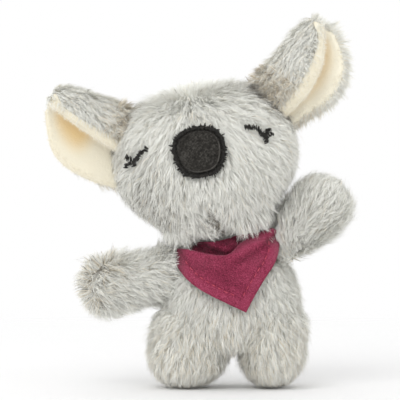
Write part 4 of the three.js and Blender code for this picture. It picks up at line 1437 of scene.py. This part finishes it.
def buildBandana():
    # the cloth between its fold and its two cut edges, straight from each point of the one to the other
    columns, rows = 110, 60
    tipColumn = int(round(bandana["tipAt"] * (columns - 1)))
    top = evenly(bandana["fold"], columns)
    lowLeft = evenly(bandana["lowLeft"], tipColumn + 1)
    low = np.concatenate([lowLeft, evenly(bandana["lowRight"], columns - tipColumn)[1:]])
    down = np.linspace(0, 1, rows)[:, None, None]
    flat = top[None] * (1 - down) + low[None] * down
    x, z = flat[..., 0], flat[..., 1]
    sheet = np.stack([x, neckPoint[1] - clothDepth(x, z), z], -1)
    # the cloth rolls back over the fold and goes down behind it, towards the neck
    behind = [sheet[0] + [0, inward, -drop] for drop, inward in bandana["turnedBack"]]
    grid = np.concatenate([np.array(behind), sheet[1:]])
    points, faces = slab(grid, bandana["thickness"], 1, 0.8)
    tone = clothToneAndPaintedShade(grid[..., 0], grid[..., 2])
    # painted shadow on the rows turned back behind the fold
    tone[:len(behind) - 1] -= 0.25
    uv = np.stack([np.tile(tone.ravel(), 2), np.full(tone.size * 2, 0.5)], 1)
    piece = meshPiece("bandana_cloth", points, faces, clothMaterial, uv)
    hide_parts("bandana_flap")
    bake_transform(piece)
    declareCloth(piece, grid)
    points, faces = hemStitches()
    stitches = meshPiece("bandana_stitches", points, faces, stitchMaterial)
    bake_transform(stitches)


def hemStitches():
    # running stitches inside both cut edges, each a thread that dips into the cloth at its ends
    starts, ends = [], []
    stitch, pitch = bandana["stitchLength"], bandana["stitchLength"] + bandana["stitchGap"]
    for line, first, last in ((bandana["lowLeft"], 0.03, 0.84), (bandana["lowRight"], 0.15, 1)):
        run = evenly(line, 300)
        run = (run + leftOf(run) * bandana["hem"])[int(first * 299):int(last * 299)]
        gone = runAlong(run)
        at = np.arange(0.4, gone[-1] - stitch, pitch)
        for spots, shift in ((starts, 0), (ends, stitch)):
            spots.append(np.stack([np.interp(at + shift, gone, run[:, k]) for k in (0, 1)], -1))
    starts, ends = np.concatenate(starts), np.concatenate(ends)
    u = np.linspace(0, 1, 7)
    uneven = dice.normal(size=(len(starts), 1, 2)) * 0.08
    flat = starts[:, None] + (ends - starts)[:, None] * u[:, None] + uneven
    depth = clothDepth(flat[..., 0], flat[..., 1]) + 0.36 - 0.6 * (np.abs(u - 0.5) * 2) ** 6
    paths = np.stack([flat[..., 0], neckPoint[1] - depth, flat[..., 1]], -1)
    girths = np.tile(bandana["stitchGirth"] * np.array([0, 0.9, 1, 1, 1, 0.9, 0]), (len(paths), 1))
    points, faces = tubes(paths, girths, np.tile([0, -1.0, 0], (len(paths), 1)), 5)
    return points, outwardFaces(points, faces)


def buildBand():
    # the part that goes round the neck: an oval strip, flared over the shoulders, that rises to the toy's
    # left
    profile = rowsAt(bandana["band"], np.linspace(0, 1, 24))
    angle = np.linspace(0, 2 * np.pi, 150)[None, :]
    out, up = profile[:, :1], profile[:, 1:]
    pleats = 0.45 * np.sin(angle * 6 + up * 0.9) + 0.3 * np.sin(angle * 11 - up * 0.7 + 2)
    x = (bandana["bandWidth"] + out + pleats) * np.cos(angle)
    y = (bandana["bandDepth"] + out + pleats) * np.sin(angle)
    z = bandana["bandHeight"] + up * 0.8 + bandana["bandSlope"] * x + 0.35 * np.sin(angle * 5 + 1)
    # painted light and shade: paler on the pleats' crests, with finer ripples, and darker in front, where the
    # band lies in the shadow of the flap and chin
    tone = 0.2 + 0.16 * np.sin(angle * 6 + up * 0.9) + 0.1 * np.sin(angle * 15 + up * 1.6)
    tone = tone + 0.2 * (np.sin(angle) > -0.3)  # paler except in front
    return np.stack([bandana["bandMiddle"] + x, neckPoint[1] + y, z + 0 * x], -1), tone


def ringSlab(grid, thickness):
    # a sheet that closes on itself across its columns, between two offsets of its grid
    grid = grid[:, :-1]
    rows, columns = grid.shape[:2]
    wrapped = np.concatenate([grid[:, -1:], grid, grid[:, :1]], axis=1)
    normal = gridNormals(wrapped)[:, 1:-1]
    front, back = grid + normal * thickness / 2, grid - normal * thickness / 2
    points = np.concatenate([front.reshape(-1, 3), back.reshape(-1, 3)])
    i, j = np.meshgrid(np.arange(columns), np.arange(rows - 1))
    a, b = (j * columns + i).ravel(), (j * columns + (i + 1) % columns).ravel()
    layer = rows * columns
    k = np.arange(columns)
    n, last = (k + 1) % columns, (rows - 1) * columns
    return points, np.concatenate([
        np.stack([a, b, b + columns, a + columns], 1), np.stack([a, a + columns, b + columns, b], 1) + layer,
        np.stack([n, k, k + layer, n + layer], 1),
        np.stack([last + k, last + n, last + n + layer, last + k + layer], 1)])


buildBandana()
bandGrid, bandPaintedShade = buildBand()
points, faces = ringSlab(bandGrid, bandana["thickness"])
bandUv = np.stack([np.tile(bandPaintedShade[:, :-1].ravel(), 2), np.full(len(points), 0.5)], 1)
band = meshPiece("bandana_band", points, faces, clothMaterial, bandUv)
fit(band, "torso", "burgundy_cotton", "bandana_collar")
declareCloth(band, bandGrid)
print("bandana done")
furTriangles = strandCount["bent"] * len(bentStrand) + strandCount["straight"] * len(straightStrand)
print("strands:", strandCount, "triangles:", furTriangles)


# floor, light and camera

studio = dict(
    distance=1.0, elevation=2.0, aim=(0, 0, 0.0647), viewWidth=0.1376,
    dome=0.95, key=3.4, keyAt=(-0.35, -0.7, 0.8), keySize=0.7,
    floor=(0.93, 0.93, 0.93), floorRadius=900, fade=(0.1, 0.42))


def buildFloor():
    # a disc whose rim fades into the white behind it
    angle, radius = np.arange(64) * 2 * np.pi / 64, studio["floorRadius"]
    rim = np.stack([radius * np.cos(angle), radius * np.sin(angle), 0 * angle], 1)
    points = np.concatenate([[[0, 0, 0]], rim])
    k = np.arange(64)
    look = Finish("pale floor")
    look.wear(color=studio["floor"], rough=0.9, gloss=0.1)
    away = look.node("ShaderNodeVectorMath", {"operation": "LENGTH"}, {0: look.place()}, out="Value")
    sockets = {"Value": away, "From Min": studio["fade"][0], "From Max": studio["fade"][1]}
    fade = look.node("ShaderNodeMapRange", {"interpolation_type": "SMOOTHSTEP"}, sockets)
    clear = look.node("ShaderNodeBsdfTransparent")
    plain = Shade(look.tree, look.shader.outputs[0])
    mixed = look.node("ShaderNodeMixShader", None, {0: fade, 1: plain, 2: clear})
    look.tree.links.new(mixed.socket, look.tree.nodes["Material Output"].inputs["Surface"])
    floor = meshPiece("floor", points, np.stack([0 * k, 1 + k, 1 + (k + 1) % 64], 1), look.material)
    floor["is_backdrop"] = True


def buildWorld():
    # an even dome of light, which the camera, mirrors and glass see as plain white
    world = bpy.data.worlds.new("studio")
    bpy.context.scene.world = world
    world.use_nodes = True
    tree = world.node_tree
    plain, white = tree.nodes["Background"], tree.nodes.new("ShaderNodeBackground")
    for node, strength in ((plain, studio["dome"]), (white, 1.0)):
        node.inputs["Color"].default_value = (1, 1, 1, 1)
        node.inputs["Strength"].default_value = strength
    rays = tree.nodes.new("ShaderNodeLightPath")
    seen = Shade(tree, rays.outputs["Is Camera Ray"]).most(Shade(tree, rays.outputs["Is Glossy Ray"]))
    seen = seen.most(Shade(tree, rays.outputs["Is Transmission Ray"]))
    mix = tree.nodes.new("ShaderNodeMixShader")
    tree.links.new(seen.socket, mix.inputs[0])
    tree.links.new(plain.outputs[0], mix.inputs[1])
    tree.links.new(white.outputs[0], mix.inputs[2])
    tree.links.new(mix.outputs[0], tree.nodes["World Output"].inputs["Surface"])


def areaLight(name, place, size, power):
    # a square lamp that is turned to the point the camera aims at
    lamp = bpy.data.lights.new(name, "AREA")
    lamp.shape, lamp.size, lamp.energy = "SQUARE", size, power
    light = bpy.data.objects.new(name, lamp)
    bpy.context.scene.collection.objects.link(light)
    light.location = place
    toward = np.array(studio["aim"]) - np.array(place)
    tilt, turn = math.acos(-toward[2] / np.linalg.norm(toward)), math.atan2(toward[1], toward[0])
    light.rotation_euler = (tilt, 0, turn - math.pi / 2)


def buildCamera():
    # in front, a little above, with a long lens that takes in the given width at the toy's distance
    data = bpy.data.cameras.new("camera")
    camera = bpy.data.objects.new("camera", data)
    bpy.context.scene.collection.objects.link(camera)
    tilt = math.radians(studio["elevation"])
    data.sensor_width = 36
    data.lens = 36 * studio["distance"] / studio["viewWidth"]
    data.clip_start, data.clip_end = 0.01, 20
    x, y, z = studio["aim"]
    camera.location = (x, y - studio["distance"] * math.cos(tilt), z + studio["distance"] * math.sin(tilt))
    camera.rotation_euler = (math.pi / 2 - tilt, 0, 0)
    bpy.context.scene.camera = camera


buildFloor()
buildWorld()
areaLight("key", studio["keyAt"], studio["keySize"], studio["key"])
buildCamera()
bpy.context.scene.view_settings.view_transform = "Standard"

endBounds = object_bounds()
plainBox = lambda box: [[float(v) for v in corner] for corner in box]
{"cad": plainBox(startBounds), "visual": plainBox(endBounds)}
print("box in mm:", [[round(v * 1000, 1) for v in corner] for corner in plainBox(endBounds)])
